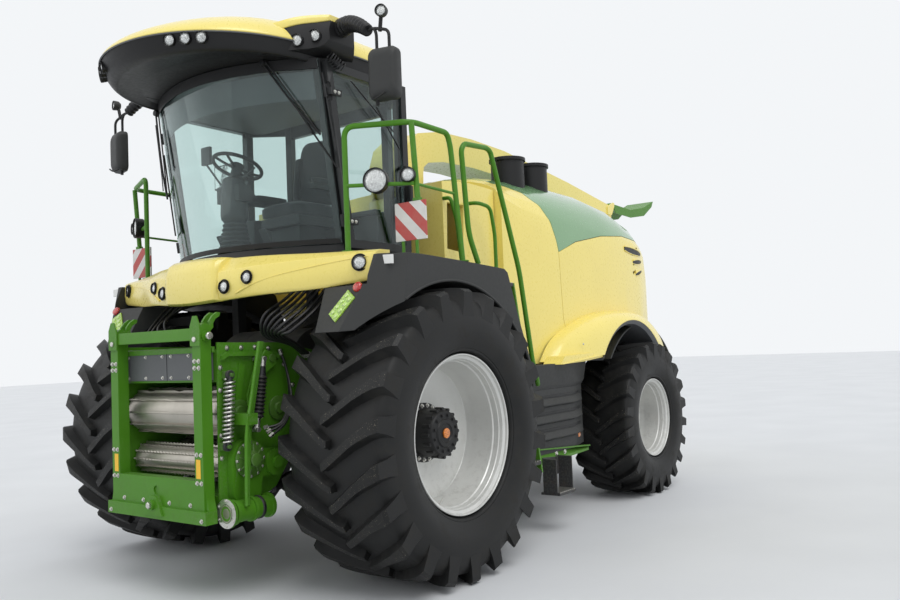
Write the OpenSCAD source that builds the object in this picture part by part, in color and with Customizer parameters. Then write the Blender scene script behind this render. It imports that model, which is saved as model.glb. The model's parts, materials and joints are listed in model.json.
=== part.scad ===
// Self-propelled forage harvester, standing on its four wheels.
// Millimetres. +X forward, +Y to the vehicle's left, +Z up.
// Places are written from the ground point under the front axle;
// every sub-part is then shifted by axle_x, so that the origin is
// the bottom centre of the whole machine.

/* [Wheels] */
// Distance between the front and rear axles
wheelbase = 3730; // [3600:10:3900]
// Radius of a front tyre at the tips of its lugs
front_tyre_r = 1020; // [1000:5:1040]
// Width of a front tyre
front_tyre_w = 880; // [820:10:900]
// Distance from the centre plane to the middle of a front tyre
front_track_y = 1330; // [1310:5:1380]
// Radius of a front rim at its flange
front_rim_r = 558; // [520:2:580]
// Radius of a rear tyre at the tips of its lugs
rear_tyre_r = 795; // [770:5:810]
// Width of a rear tyre
rear_tyre_w = 660; // [600:10:680]
// Distance from the centre plane to the middle of a rear tyre
rear_track_y = 1210; // [1200:5:1240]
// Radius of a rear rim at its flange
rear_rim_r = 407; // [380:1:430]
// Height of a front lug
front_lug_h = 55; // [40:1:60]
// Height of a rear lug
rear_lug_h = 42; // [30:1:50]
// Lugs on each side of a tyre
lug_count = 22; // [18:1:24]

/* [Frame] */
// Distance from the centre plane to the middle of a frame rail
rail_y = 290; // [270:5:310]
// Width of a frame rail
rail_w = 100; // [80:5:110]
// Height of a frame rail
rail_h = 240; // [200:5:260]
// Height of the underside of the frame rails
rail_z = 1010; // [990:5:1040]
// Distance from the centre plane to a rear kingpin
kingpin_y = 985; // [960:5:1000]
// Radius of a rear kingpin
kingpin_r = 36; // [30:1:42]

/* [Cab] */
// Half the width of the cab at its posts
cab_half_w = 950; // [900:10:980]
// Height of the cab floor's underside
cab_floor_z = 2340; // [2330:5:2360]
// Thickness of the cab floor
cab_floor_t = 60; // [50:5:80]
// Height of the underside of the roof
roof_z = 3720; // [3680:5:3760]
// Forward reach of the roof's visor from the front axle
roof_nose_x = 1450; // [1400:10:1500]
// Width of a cab post
post_w = 70; // [50:5:80]
// Thickness of the cab's glass
glass_t = 12; // [8:1:16]

/* [Body] */
// Half the width of the rear body at its widest
body_half_w = 1265; // [1230:5:1280]
// Thickness of the body's panels
panel_t = 30; // [20:1:40]
// Gap between neighbouring body panels
panel_gap = 6; // [4:1:10]
// Radius of a rear wheel arch
rear_arch_r = 1000; // [970:5:1020]
// Outer face of the front fenders, from the centre plane
fender_y = 1660; // [1640:5:1680]
// Radius of an exhaust and air stack
stack_r = 160; // [140:5:170]
// Height of the stacks' rims
stack_top_z = 3410; // [3380:5:3440]

/* [Intake] */
// Half the width of the intake housing outside its side plates
intake_half_w = 545; // [530:5:560]
// Thickness of the intake's side plates
intake_plate_t = 16; // [12:1:20]
// Radius of the upper feed roller over its ribs
feed_upper_r = 170; // [160:1:175]
// Radius of the lower feed roller over its ribs
feed_lower_r = 118; // [110:1:125]
// Distance from the centre plane to the middle of a frame post
post_y = 480; // [470:5:500]
// Width of a post of the pendulum frame
post_frame_w = 88; // [80:2:96]

/* [Chute] */
// Width of the discharge chute
chute_w = 430; // [400:10:460]
// Height of the discharge chute's duct
chute_h = 300; // [280:10:310]
// Thickness of the chute's sheet
chute_t = 12; // [8:1:16]
// Reach of the chute's tip behind the front axle
chute_reach = 7050; // [6900:10:7200]

/* [Rails and mirrors] */
// Radius of the handrails' tube
tube_r = 20; // [16:1:24]
// Distance from the centre plane to the platform rails
side_rail_y = 1620; // [1600:5:1640]
// Distance from the centre plane to the middle of a mirror
mirror_y = 1600; // [1560:5:1640]

/* [Hidden] */
$fn = 48;

YELLOW = [0.93, 0.83, 0.36];
GREEN = [0.16, 0.38, 0.12];
DARK = [0.16, 0.165, 0.17];
SILVER = [0.78, 0.79, 0.76];
BLACK = [0.06, 0.06, 0.065];
GLASS = [0.55, 0.68, 0.68, 0.4];

// The whole machine's middle lies half-way between visor and chute tip
axle_x = (chute_reach - roof_nose_x) / 2;
SIDES = [1, -1];
run_gap = 0.3;
// Half a rim's width as a share of its tyre's, and the flange's step over the barrel
rim_share = 0.42;
rim_step = 26;

module placed() { translate([axle_x, 0, 0]) children(); }
module both_sides() { for (s = SIDES) scale_y(s) children(); }
module scale_y(s) { if (s > 0) children(); else mirror([0, 1, 0]) children(); }

// A box given by its lowest and highest corner
module block(low, high) { translate(low) cube(high - low); }

// A cylinder along +Y from y0 to y1
module drum(x, z, y0, y1, r, r2 = undef) {
  translate([x, y0, z]) rotate([-90, 0, 0])
    cylinder(h = y1 - y0, r1 = r, r2 = is_undef(r2) ? r : r2);
}

// A side-view outline of [x, z] points, extruded from y0 to y1
module slab(outline, y0, y1) {
  translate([0, y1, 0]) rotate([90, 0, 0])
    linear_extrude(height = y1 - y0) polygon(outline);
}

// A front-view outline of [y, z] points, extruded from x0 to x1
module wall(outline, x0, x1) {
  translate([x0, 0, 0]) rotate([90, 0, 90])
    linear_extrude(height = x1 - x0) polygon(outline);
}

// A bar of round tube through a list of points, with its corners bent to a radius
tube_sides = 10;
bend_steps = 3;
module tube_path(points, r, bend = 90) {
  path = bent(points, bend);
  last = len(path) - 1;
  loft([for (i = [0:last])
    let (before = unit(path[max(i, 1)] - path[max(i, 1) - 1]),
         after = unit(path[min(i, last - 1) + 1] - path[min(i, last - 1)]),
         d = unit(before + after),
         side = unit(cross(d, [0, 1, 0])),
         up = cross(side, d))
    [for (k = [0:tube_sides - 1]) let (a = 360 * (k + 0.5) / tube_sides)
      path[i] + r * (cos(a) * side + sin(a) * up)]]);
}
function unit(v) = v / norm(v);
function bent(p, bend) = concat([p[0]],
  [for (i = [1:1:len(p) - 2])
    let (a = unit(p[i - 1] - p[i]), b = unit(p[i + 1] - p[i]),
         reach = min(bend, norm(p[i - 1] - p[i]) * 0.45, norm(p[i + 1] - p[i]) * 0.45))
    for (k = [0:bend_steps]) let (t = k / bend_steps, q = p[i] + reach * a, w = p[i] + reach * b)
      q * pow(1 - t, 2) + p[i] * 2 * t * (1 - t) + w * pow(t, 2)],
  [p[len(p) - 1]]);

// A round bar between two points
module rod(a, b, r) {
  d = b - a;
  length = norm(d);
  translate(a) rotate([0, acos(d[2] / length), atan2(d[1], d[0])]) cylinder(h = length, r = r);
}

function flat_area(r) = [for (i = [0:len(r) - 1]) cross(r[i], r[(i + 1) % len(r)])];
function total(v, i = 0) = i >= len(v) ? [0, 0, 0] : v[i] + total(v, i + 1);
function middle(r) = total(r) / len(r);
function backwards(r) = [for (i = [len(r) - 1:-1:0]) r[i]];

// A closed solid through rings of equal length. A thin ring, whose points run
// out on one face and back on the other, has its ends closed in strips
function end_strip(n, o) = [for (i = [0:n / 2 - 2]) each
  [[o + i, o + i + 1, o + n - 1 - i], [o + i + 1, o + n - 2 - i, o + n - 1 - i]]];
module loft(rings, thin = false) {
  way = middle(rings[1]) - middle(rings[0]);
  turned = total(flat_area(rings[0])) * way < 0;
  rows = turned ? [for (r = rings) backwards(r)] : rings;
  n = len(rows[0]);
  m = len(rows);
  polyhedron(
    points = [for (r = rows) each r],
    faces = concat(
      thin ? end_strip(n, 0) : [[for (i = [0:n - 1]) i]],
      thin ? [for (f = end_strip(n, (m - 1) * n)) backwards(f)]
           : [[for (i = [n - 1:-1:0]) (m - 1) * n + i]],
      [for (k = [0:m - 2], i = [0:n - 1]) let (j = (i + 1) % n)
        each [[k * n + i, (k + 1) * n + i, (k + 1) * n + j],
              [k * n + i, (k + 1) * n + j, k * n + j]]]),
    convexity = 10);
}

// Value of a column at x, straight between the rows of a table
function column(table, x, c, i = 0) =
  i >= len(table) - 2 || x >= table[i + 1][0]
    ? table[i][c] + (table[i + 1][c] - table[i][c])
      * (x - table[i][0]) / (table[i + 1][0] - table[i][0])
    : column(table, x, c, i + 1);

// Tyres. Each lug is a bent bar through three stations, with columns
// [share of half width, degrees behind the crown, half thickness,
//  share of lug height, share of the sidewall that its foot reaches down]
LUG_ROWS = [[-0.06, 0, 32, 1, 0.10], [0.48, 8, 38, 1, 0.12], [0.97, 15, 58, 0.62, 0.36]];

function polar(a, r, y) = [r * cos(a), y, r * sin(a)];
function lug_ring(row, a0, side, r, w, rim, h) =
  let (y = side * row[0] * w / 2, a = a0 + row[1],
       top = r - h * (1 - row[3]), low = r - h - row[4] * (r - h - rim),
       spread = row[2] / r * 180 / PI)
  [polar(a - spread, top, y), polar(a + spread, top, y),
   polar(a + spread * 1.35, low, y), polar(a - spread * 1.35, low, y)];

// One lug corner of the left row points straight down, so the tyre meets the ground
module lugs(r, w, rim, h) {
  step = 360 / lug_count;
  foot = -90 + LUG_ROWS[0][2] / r * 180 / PI;
  for (side = SIDES, k = [0:lug_count - 1])
    let (a0 = foot + k * step + (side > 0 ? 0 : step / 2))
      loft([for (row = LUG_ROWS) lug_ring(row, a0, side, r, w, rim, h)]);
}

// Carcass: half widths and radii from the bead, past the rim's flange, to the crown
function carcass(r, w, rim, h) =
  let (b = w / 2, t = r - h, deep = t - rim, bead = w * rim_share - 30)
  [[bead, rim - rim_step + run_gap], [bead + 5, rim + 4], [b * 0.86, rim + 17],
   [b * 0.985, rim + deep * 0.30], [b, rim + deep * 0.48], [b * 0.985, rim + deep * 0.66],
   [b * 0.93, rim + deep * 0.86], [b * 0.80, rim + deep * 0.955],
   [b * 0.40, t - 4], [0, t]];

module tyre(x, y, z, side, r, w, rim, h) {
  half = carcass(r, w, rim, h);
  outline = concat([for (p = half) [p[1], p[0]]],
                   [for (p = backwards(half)) if (p[0] > 0) [p[1], -p[0]]]);
  translate([x, y, z]) scale_y(side) color(BLACK) {
    rotate([-90, 0, 0]) rotate_extrude($fn = 96) polygon(outline);
    lugs(r, w, rim, h);
  }
}

// Rim: barrel between two flanges, a dished disc and the hub.
// Measures are from the tyre's middle plane towards the outside.
module rim(x, y, z, side, r, w, hub_r, hub_out, disc_y) {
  half = w * rim_share;
  wall_t = 14;
  barrel = [[r, -half], [r, -half + 18], [r - rim_step, -half + 26], [r - 30, -60],
            [r - 62, -40], [r - 62, disc_y + 30], [r - 40, disc_y + 70], [r - 30, half - 60],
            [r - rim_step, half - 26], [r, half - 18], [r, half],
            [r - wall_t, half], [r - wall_t, half - 14], [r - 40, half - 30],
            [r - 44, half - 62], [r - 54, disc_y + 78], [r - 76, disc_y + 26],
            [hub_r + 30, disc_y - 20], [hub_r + 30, disc_y - 44],
            [r - 76, disc_y], [r - 76, -48], [r - 44, -70], [r - 40, -half + 30],
            [r - wall_t, -half]];
  translate([x, y, z]) scale_y(side) rotate([-90, 0, 0]) {
    color(SILVER) rotate_extrude($fn = 96) polygon(barrel);
    color(BLACK) {
      translate([0, 0, disc_y - 60]) cylinder(h = 60, r = hub_r + 40);
      translate([0, 0, disc_y - 60]) cylinder(h = hub_out + 30 - disc_y, r = hub_r);
      translate([0, 0, hub_out - 30]) cylinder(h = 30, r1 = hub_r, r2 = hub_r * 0.86);
      for (k = [0:11]) rotate([0, 0, k * 30])
        translate([hub_r * 0.72, 0, hub_out - 4]) cylinder(h = 18, r = 13, $fn = 6);
    }
    color("orange") translate([0, 0, hub_out - 2]) cylinder(h = 18, r = 42);
  }
}

front_hub_r = 172;
front_hub_out = 200;
front_disc_y = 20;
rear_hub_r = 120;
rear_hub_out = 150;
rear_disc_y = 80;

module front_wheel_tyre(side) {
  placed() tyre(0, side * front_track_y, front_tyre_r, side, front_tyre_r,
                front_tyre_w, front_rim_r, front_lug_h);
}
module front_wheel_rim(side) {
  placed() rim(0, side * front_track_y, front_tyre_r, side, front_rim_r,
               front_tyre_w, front_hub_r, front_hub_out, front_disc_y);
}
module rear_wheel_tyre(side) {
  placed() tyre(-wheelbase, side * rear_track_y, rear_tyre_r, side, rear_tyre_r,
                rear_tyre_w, rear_rim_r, rear_lug_h);
}
module rear_wheel_rim(side) {
  placed() rim(-wheelbase, side * rear_track_y, rear_tyre_r, side, rear_rim_r,
               rear_tyre_w, rear_hub_r, rear_hub_out, rear_disc_y);
}
module front_tyre_left() { front_wheel_tyre(1); }
module front_tyre_right() { front_wheel_tyre(-1); }
module front_rim_left() { front_wheel_rim(1); }
module front_rim_right() { front_wheel_rim(-1); }
module rear_tyre_left() { rear_wheel_tyre(1); }
module rear_tyre_right() { rear_wheel_tyre(-1); }
module rear_rim_left() { rear_wheel_rim(1); }
module rear_rim_right() { rear_wheel_rim(-1); }

// Running gear and frame

// Front drive beam with a final drive reaching into each rim,
// and the ears that carry the feet of the lift cylinders
front_drive_r = 250;
front_hub_tube_r = 205;
front_beam_r = 150;
lift_pin_r = 20;
lift_ear_t = 22;
lift_y = 470;
lift_r = 45;
lift_eye_pin_r = 16;
LIFT_FOOT = [90, lift_y, front_tyre_r - 200];
LIFT_EYE = [980, lift_y, 610];
module front_axle() {
  hub_face = front_track_y + front_disc_y - 60 - run_gap;
  placed() color(DARK) {
    drum(0, front_tyre_r, -rail_y - 340, rail_y + 340, front_beam_r);
    both_sides() {
      drum(0, front_tyre_r, rail_y + 300, front_track_y - 330, front_hub_tube_r);
      drum(0, front_tyre_r, front_track_y - 330, front_track_y - 170, front_drive_r);
      drum(0, front_tyre_r, front_track_y - 170, hub_face, front_drive_r - 50, 150);
      for (y = [lift_y - lift_r - 5 - lift_ear_t, lift_y + lift_r + 5])
        translate([LIFT_FOOT[0], 0, LIFT_FOOT[2]])
          slab([[-70, 80], [-50, -45], [45, -45], [55, 30], [10, 110]], y, y + lift_ear_t);
      drum(LIFT_FOOT[0], LIFT_FOOT[2], lift_y - lift_r - 5 - lift_ear_t, lift_y + lift_r + 5 + lift_ear_t, lift_pin_r);
    }
  }
}

// Ladder frame: two rails, cross members and the tow jaw at the rear
rail_front_x = 260;
rail_rear_x = -4760;
tow_bore_r = 20;
tow_x = rail_rear_x - 110;
tow_z = rail_z + 20;
CROSS_X = [-620, -1500, -2600, -4640];
module frame_rails() {
  inner_y = rail_y - rail_w / 2 - run_gap;
  placed() color(DARK) {
    difference() {
      both_sides() block([rail_rear_x + run_gap, rail_y - rail_w / 2, rail_z],
                         [rail_front_x, rail_y + rail_w / 2, rail_z + rail_h]);
      // The front drive beam passes through the rails
      drum(0, front_tyre_r, -rail_y - 200, rail_y + 200, front_beam_r + run_gap);
    }
    for (x = CROSS_X) block([x - 50, -inner_y, rail_z + 30], [x + 50, inner_y, rail_z + rail_h - 30]);
    difference() {
      union() {
        block([rail_rear_x - 30, -rail_y - 60, rail_z - 60], [rail_rear_x, rail_y + 60, rail_z + rail_h]);
        for (z = [tow_z - 55, tow_z + 55]) translate([0, 0, z - 15]) {
          block([tow_x, -70, 0], [rail_rear_x - 20, 70, 30]);
          translate([tow_x, 0, 0]) cylinder(h = 30, r = 70);
        }
      }
      translate([tow_x, 0, tow_z - 200]) cylinder(h = 400, r = tow_bore_r);
    }
    // Saddle over the rear axle
    block([-wheelbase - 160, -rail_y - 50, rail_z - 50], [-wheelbase + 160, rail_y + 50, rail_z - run_gap]);
  }
}

// Cross beams on the rails and the drive beam, which carry the cab, the platforms,
// the housing behind the cab and the rear body. Rows are
// [low x, high x, half length, top z, inner y and outer y of its two posts, foot z]
beam_h = 100;
// Undersides of the housing behind the cab and of the tower's closing wall
front_body_low = 1700;
tower_wall_low = 1500;
rail_top_z = rail_z + rail_h + run_gap;
CROSS_BEAMS = [[-45, 45, cab_half_w + 20 - run_gap, cab_floor_z - run_gap, 620, 700, front_tyre_r + front_hub_tube_r + run_gap],
               [-560, -480, cab_half_w + 20 - run_gap, cab_floor_z - run_gap, 250, 330, rail_top_z],
               [-1340, -1240, 1000, front_body_low - run_gap, 250, 330, rail_top_z],
               [-1450, -1388, 1148, tower_wall_low - run_gap, 250, 330, rail_top_z]];
module platform_frame() {
  placed() color(DARK) for (b = CROSS_BEAMS) {
    block([b[0], -b[2], b[3] - beam_h], [b[1], b[2], b[3]]);
    both_sides() block([b[0], b[4], b[6]], [b[1], b[5], b[3] - beam_h]);
  }
}

// Rear steering axle: a box beam that ends in a kingpin fork on each side
steer_arm_x = 230;
rear_beam_h = 150;
knuckle_h = 150;
module rear_axle() {
  z = rear_tyre_r;
  placed() color(DARK) difference() {
    union() {
      block([-wheelbase - 110, -820, z - rear_beam_h / 2], [-wheelbase + 110, 820, z + rear_beam_h / 2]);
      block([-wheelbase - 130, -230, z + rear_beam_h / 2], [-wheelbase + 130, 230, rail_z - 50 - run_gap]);
      both_sides() for (low = [z - knuckle_h - 45, z + knuckle_h])
        hull_free_ear(low, 45);
      both_sides() block([-wheelbase - 85, 780, z - knuckle_h - 45], [-wheelbase + 85, 850, z + knuckle_h + 45]);
      // Steering cylinder on the beam's rear side
      drum(-wheelbase - steer_arm_x, z, -300, 300, 55);
      for (y = [-240, 200])
        block([-wheelbase - steer_arm_x, y, z - 30], [-wheelbase - 100, y + 40, z + 30]);
    }
    both_sides() translate([-wheelbase, kingpin_y, z - 400]) cylinder(h = 800, r = kingpin_r + 0.05);
    drum(-wheelbase - steer_arm_x, z, -400, 400, steer_rod_r + 0.05);
  }
}
module hull_free_ear(low, t) {
  block([-wheelbase - 70, 800, low], [-wheelbase + 70, kingpin_y, low + t]);
  translate([-wheelbase, kingpin_y, low]) cylinder(h = t, r = 70);
}

// The double-ended rod of the steering cylinder. Its heads lie over the
// knuckles' arms and stay clear of them.
steer_rod_r = 24;
steer_rod_y = kingpin_y - 55;
steer_head_r = 36;
module steering_rod() {
  placed() color(SILVER) {
    drum(-wheelbase - steer_arm_x, rear_tyre_r, -steer_rod_y, steer_rod_y, steer_rod_r);
    both_sides() translate([-wheelbase - steer_arm_x, steer_rod_y, rear_tyre_r - 34])
      cylinder(h = 64, r = steer_head_r);
  }
}

// Knuckle: a block that turns on its kingpin between the fork's ears,
// the stub that carries the wheel and an arm under the steering rod's head
module knuckle(side) {
  z = rear_tyre_r;
  hub_face = rear_track_y + rear_disc_y - 60 - run_gap;
  placed() scale_y(side) color(DARK) {
    translate([-wheelbase, kingpin_y, z - knuckle_h + run_gap])
      cylinder(h = 2 * (knuckle_h - run_gap), r = 95);
    translate([-wheelbase, kingpin_y, z - knuckle_h - 60])
      cylinder(h = 2 * (knuckle_h + 60), r = kingpin_r);
    drum(-wheelbase, z, kingpin_y, hub_face, 125);
    // Arm, waisted so that it clears the axle beam at full lock
    translate([-wheelbase, kingpin_y, z - 95]) linear_extrude(height = 55)
      polygon([[-steer_arm_x - 40, -91], [-steer_arm_x + 50, -40], [0, -40], [0, 40], [-steer_arm_x + 30, 10],
               [-steer_arm_x - 40, -20]]);
  }
}
module knuckle_left() { knuckle(1); }
module knuckle_right() { knuckle(-1); }

// Engine: one plain block on the rails
module engine_block() {
  placed() color(DARK) block([-3900, -480, rail_z + rail_h + run_gap], [-2290, 480, 2350]);
}

// Fuel tank between the rails and the lower side panels
module fuel_tank() {
  placed() color(DARK) both_sides()
    wall([[rail_y + rail_w / 2 + run_gap, 820], [1150, 700], [lower_panel_y - run_gap, 800], [lower_panel_y - run_gap, 1380],
          [rail_y + rail_w / 2 + run_gap, 1380]], -2270, -1560);
}

// Cutting drum housing over the front axle, with the crop duct behind it
// that rises under the cab to the chute's turret. The intake turns on its stubs.
turret_x = -1390;
turret_r = 265;
turret_low = 2900;
drum_x = 120;
drum_z = 1500;
drum_r = 320;
drum_half_w = 430;
intake_stub_r = 60;
// Outlines in side view: the duct's outside, and the crop's path from the intake to the turret
duct_half_w = 190;
duct_wall = 25;
DUCT = [[drum_x + 20, drum_z + drum_r - 10], [-420, 2000], [turret_x + 200, turret_low - 160],
        [turret_x + 200, turret_low - 100], [turret_x - 200, turret_low - 100], [turret_x - 170, 2560],
        [-900, 1640], [drum_x - 60, drum_z - drum_r + 20]];
CROP_PATH = [[600, 1480], [200, 1480], [200, 1680], [-360, 1900], [turret_x + 160, turret_low - 210],
             [turret_x + 160, turret_low + 50], [turret_x - 160, turret_low + 50],
             [turret_x - 160, turret_low - 260], [-860, 1740], [-120, 1340], [120, 1235], [600, 1235]];
module duct_seats() {
  drum(0, front_tyre_r, -600, 600, front_beam_r + run_gap);
  both_sides() block([-3000, rail_y - rail_w / 2 - run_gap, rail_z - 1],
                     [rail_front_x + run_gap, rail_y + rail_w / 2 + run_gap, rail_z + rail_h + run_gap]);
}
module drum_housing() {
  g = run_gap;
  placed() color(DARK) {
    // Housing over the ends of the cutting drum, with the intake's stubs and the feet on the rails
    both_sides() difference() {
      union() {
        drum(drum_x, drum_z, duct_half_w + g, drum_half_w, drum_r);
        drum(drum_x, drum_z, drum_half_w - 30, intake_half_w + 12, intake_stub_r);
        block([drum_x - 60, rail_y - 40, 1100], [drum_x + 60, rail_y + 60, drum_z]);
      }
      block([drum_x + 180, 0, 1235], [900, drum_half_w - 30, 1480]);
      duct_seats();
    }
    // Its middle, above and below the crop's path
    difference() {
      drum(drum_x, drum_z, -duct_half_w, duct_half_w, drum_r);
      slab(CROP_PATH, -duct_half_w - 1, duct_half_w + 1);
      duct_seats();
    }
    // Duct: front and rear plates between the side plates, and the ring under the turret
    difference() {
      slab(DUCT, -duct_half_w, duct_half_w);
      slab(CROP_PATH, -duct_half_w - 1, duct_half_w + 1);
      drum(drum_x, drum_z, -500, 500, drum_r + g);
      duct_seats();
    }
    difference() {
      both_sides() slab(DUCT, duct_half_w + g, duct_half_w + duct_wall);
      drum(drum_x, drum_z, -500, 500, drum_r + g);
      duct_seats();
    }
    difference() {
      translate([turret_x, 0, turret_low - 100 + g]) cylinder(h = 100 - 2 * g, r = turret_r + duct_wall);
      block([turret_x - 160, -duct_half_w, turret_low - 200], [turret_x + 160, duct_half_w, turret_low + 50]);
    }
  }
}

// Cab

cab_rear_x = -620;
cab_lean = 190;
door_x0 = -330;
post_foot_x = 360;
cab_top_z = roof_z - run_gap;
floor_top = cab_floor_z + cab_floor_t;

// Windscreen plan at height z: an arc from post to post; lean moves it forward
screen_bulge = 330;
screen_steps = 10;
function lean_at(z) = cab_lean * (z - floor_top) / (cab_top_z - floor_top);
function screen_at(y, z, out) =
  post_foot_x + lean_at(z) + screen_bulge * (1 - pow(y / cab_half_w, 2)) + out;

// Floor with a bowed front edge, rear wall with its window cut, four posts, roof ring
module cab_shell() {
  placed() color(BLACK) {
    translate([0, 0, cab_floor_z]) linear_extrude(height = cab_floor_t)
      polygon(concat([[cab_rear_x, -cab_half_w], [cab_rear_x, cab_half_w]],
        [for (i = [0:screen_steps])
          let (y = cab_half_w * (1 - 2 * i / screen_steps)) [screen_at(y, floor_top, 0), y]]));
    both_sides() {
      // Front post, leaning forward
      slab([[post_foot_x - post_w, floor_top], [post_foot_x, floor_top],
            [post_foot_x + cab_lean, cab_top_z], [post_foot_x + cab_lean - post_w, cab_top_z]],
           cab_half_w - post_w, cab_half_w);
      // Rear corner post
      block([cab_rear_x, cab_half_w - post_w, floor_top],
            [cab_rear_x + post_w, cab_half_w, cab_top_z]);
      // Door post
      block([door_x0 - post_w, cab_half_w - post_w, floor_top],
            [door_x0, cab_half_w, cab_top_z]);
      // Side panel behind the door post
      block([cab_rear_x + post_w, cab_half_w - 40, floor_top], [door_x0 - post_w, cab_half_w - 10, 2900]);
      // Roof rail over the door
      block([cab_rear_x, cab_half_w - post_w, cab_top_z - 60],
            [post_foot_x + cab_lean - post_w, cab_half_w, cab_top_z]);
    }
    difference() {
      block([cab_rear_x, -cab_half_w + post_w, floor_top], [cab_rear_x + 50, cab_half_w - post_w, cab_top_z]);
      block([cab_rear_x - 10, -cab_half_w + post_w + 90, floor_top + 330],
            [cab_rear_x + 60, cab_half_w - post_w - 90, cab_top_z - 110]);
    }
    door_hinge_posts();
    // Header over the windscreen
    translate([0, 0, cab_top_z - 60]) linear_extrude(height = 60)
      polygon(concat(
        [for (i = [0:screen_steps])
          let (y = (cab_half_w - post_w) * (1 - 2 * i / screen_steps))
            [screen_at(y, cab_top_z, -glass_t - 2), y]],
        [for (i = [0:screen_steps])
          let (y = -(cab_half_w - post_w) * (1 - 2 * i / screen_steps))
            [screen_at(y, cab_top_z, -glass_t - 72), y]]));
  }
}

// Bowed windscreen, rear window and the right side pane
module cab_glass() {
  edge = cab_half_w - 4;
  rows = [for (z = [floor_top + run_gap, cab_top_z - run_gap]) concat(
    [for (i = [0:screen_steps]) let (y = edge * (1 - 2 * i / screen_steps))
      [screen_at(y, z, 2 + glass_t), y, z]],
    [for (i = [0:screen_steps]) let (y = -edge * (1 - 2 * i / screen_steps))
      [screen_at(y, z, 2), y, z]])];
  placed() color(GLASS) {
    loft(rows, thin = true);
    block([cab_rear_x + 15, -cab_half_w + post_w + 90 + run_gap, floor_top + 330 + run_gap],
          [cab_rear_x + 15 + glass_t, cab_half_w - post_w - 90 - run_gap, cab_top_z - 110 - run_gap]);
    scale_y(-1) slab([[door_x0 + run_gap, floor_top + run_gap], [post_foot_x - post_w - run_gap, floor_top + run_gap],
          [post_foot_x + lean_at(cab_top_z - 62) - post_w - 2, cab_top_z - 62], [door_x0 + run_gap, cab_top_z - 62]],
         cab_half_w - 30, cab_half_w - 30 + glass_t);
  }
}

// Roof: rings [height over the roof's underside, front reach, half width, rear reach]
ROOF_ROWS = [[0, -70, 1010, -640], [70, 0, 1060, -690], [180, -40, 1050, -690],
             [330, -300, 960, -640], [410, -560, 790, -540], [440, -760, 560, -420]];
roof_steps = 14;
function roof_ring(z, nose, half, rear) =
  concat(
    [for (i = [0:roof_steps]) let (a = -90 + 180 * i / roof_steps,
       side_x = 560, bow = pow(cos(a), 0.72))
      [side_x + (nose - side_x) * bow, half * sin(a), z + (1 - bow) * 0]],
    [[rear + 90, half, z], [rear, half - 120, z], [rear, -half + 120, z], [rear + 90, -half, z]]);
module cab_roof() {
  placed() color(YELLOW) roof_form();
}
module roof_form() {
  loft([for (r = [for (i = [1:len(ROOF_ROWS) - 1]) ROOF_ROWS[i]])
    roof_ring(roof_z + r[0] + run_gap, roof_nose_x + r[1], r[2], r[3])]);
}

// Dark visor and roof lining under the yellow cap
module visor_form() {
  loft([for (r = [ROOF_ROWS[0], ROOF_ROWS[1]]) roof_ring(roof_z + r[0], roof_nose_x + r[1], r[2], r[3])]);
}
module roof_visor() { placed() color(BLACK) visor_form(); }

// Left door: a frame with its pane, hinged along the leaning front post
door_gap = 6;
door_t = 40;
door_bar = 60;
door_y = cab_half_w + door_gap;
door_low_z = floor_top - 30;
door_top_z = cab_top_z - 20;
hinge_y = door_y + door_t;
hinge_pin_r = 10;
hinge_r = 17;
HINGE_Z = [2560, 3480];
function hinge_x(z) = post_foot_x - 18 + lean_at(z);
function hinge_at(z) = [hinge_x(z), hinge_y, z];
door_outline = [[door_x0 - 30, door_low_z], [hinge_x(door_low_z), door_low_z],
                [hinge_x(door_top_z), door_top_z], [door_x0 - 30, door_top_z]];
door_inner = [[door_x0 - 30 + door_bar, door_low_z + door_bar],
              [hinge_x(door_low_z + door_bar) - door_bar, door_low_z + door_bar],
              [hinge_x(door_top_z - door_bar) - door_bar, door_top_z - door_bar],
              [door_x0 - 30 + door_bar, door_top_z - door_bar]];
module cab_door() {
  placed() color(BLACK) difference() {
    union() {
      difference() {
        slab(door_outline, door_y, door_y + door_t);
        slab(door_inner, door_y - 1, door_y + door_t + 1);
        for (z = HINGE_Z) rod(hinge_at(z - 64), hinge_at(z + 64), hinge_r + 5);
      }
      // Handle at the rear edge and the two hinge straps with their barrels
      block([door_x0 - 20, door_y + door_t, 2760], [door_x0 + 10, door_y + door_t + 45, 2900]);
      for (z = HINGE_Z) {
        rod(hinge_at(z - 25), hinge_at(z + 25), hinge_r);
        translate([hinge_x(z), 0, z]) block([-110, door_y + door_t, -22], [-8, door_y + door_t + 14, 22]);
      }
    }
    for (z = HINGE_Z) rod(hinge_at(z - 70), hinge_at(z + 70), hinge_pin_r + 0.05);
  }
}
// Post side of the door's hinges: a knuckle above and below each barrel, and the pin
module door_hinge_posts() {
  for (z = HINGE_Z) {
    rod(hinge_at(z - 56), hinge_at(z + 56), hinge_pin_r);
    for (low = [z - 56, z + 30]) {
      rod(hinge_at(low), hinge_at(low + 26), hinge_r);
      translate([hinge_x(low + 13), 0, low + 2]) block([5, cab_half_w - 2, 0], [16, hinge_y + 8, 22]);
    }
  }
}
module door_glass() {
  t0 = door_y + door_t / 2 - glass_t / 2;
  placed() color(GLASS) slab([for (p = door_inner) [p[0] + (p[0] < 0 ? run_gap : -run_gap),
                              p[1] + (p[1] < 3000 ? run_gap : -run_gap)]], t0, t0 + glass_t);
}

// Seat on its base, with the right-hand armrest console
module cab_seat() {
  placed() color(DARK) {
    block([-330, -190, floor_top + run_gap], [60, 190, floor_top + 330]);
    block([-380, -250, floor_top + 330], [130, 250, floor_top + 470]);
    slab([[-400, floor_top + 470], [-270, floor_top + 470], [-330, floor_top + 1090], [-440, floor_top + 1090]],
         -240, 240);
    block([-300, -480, floor_top + 500], [260, -290, floor_top + 640]);
    block([-300, -440, floor_top + run_gap], [-200, -330, floor_top + 500]);
  }
}

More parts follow.
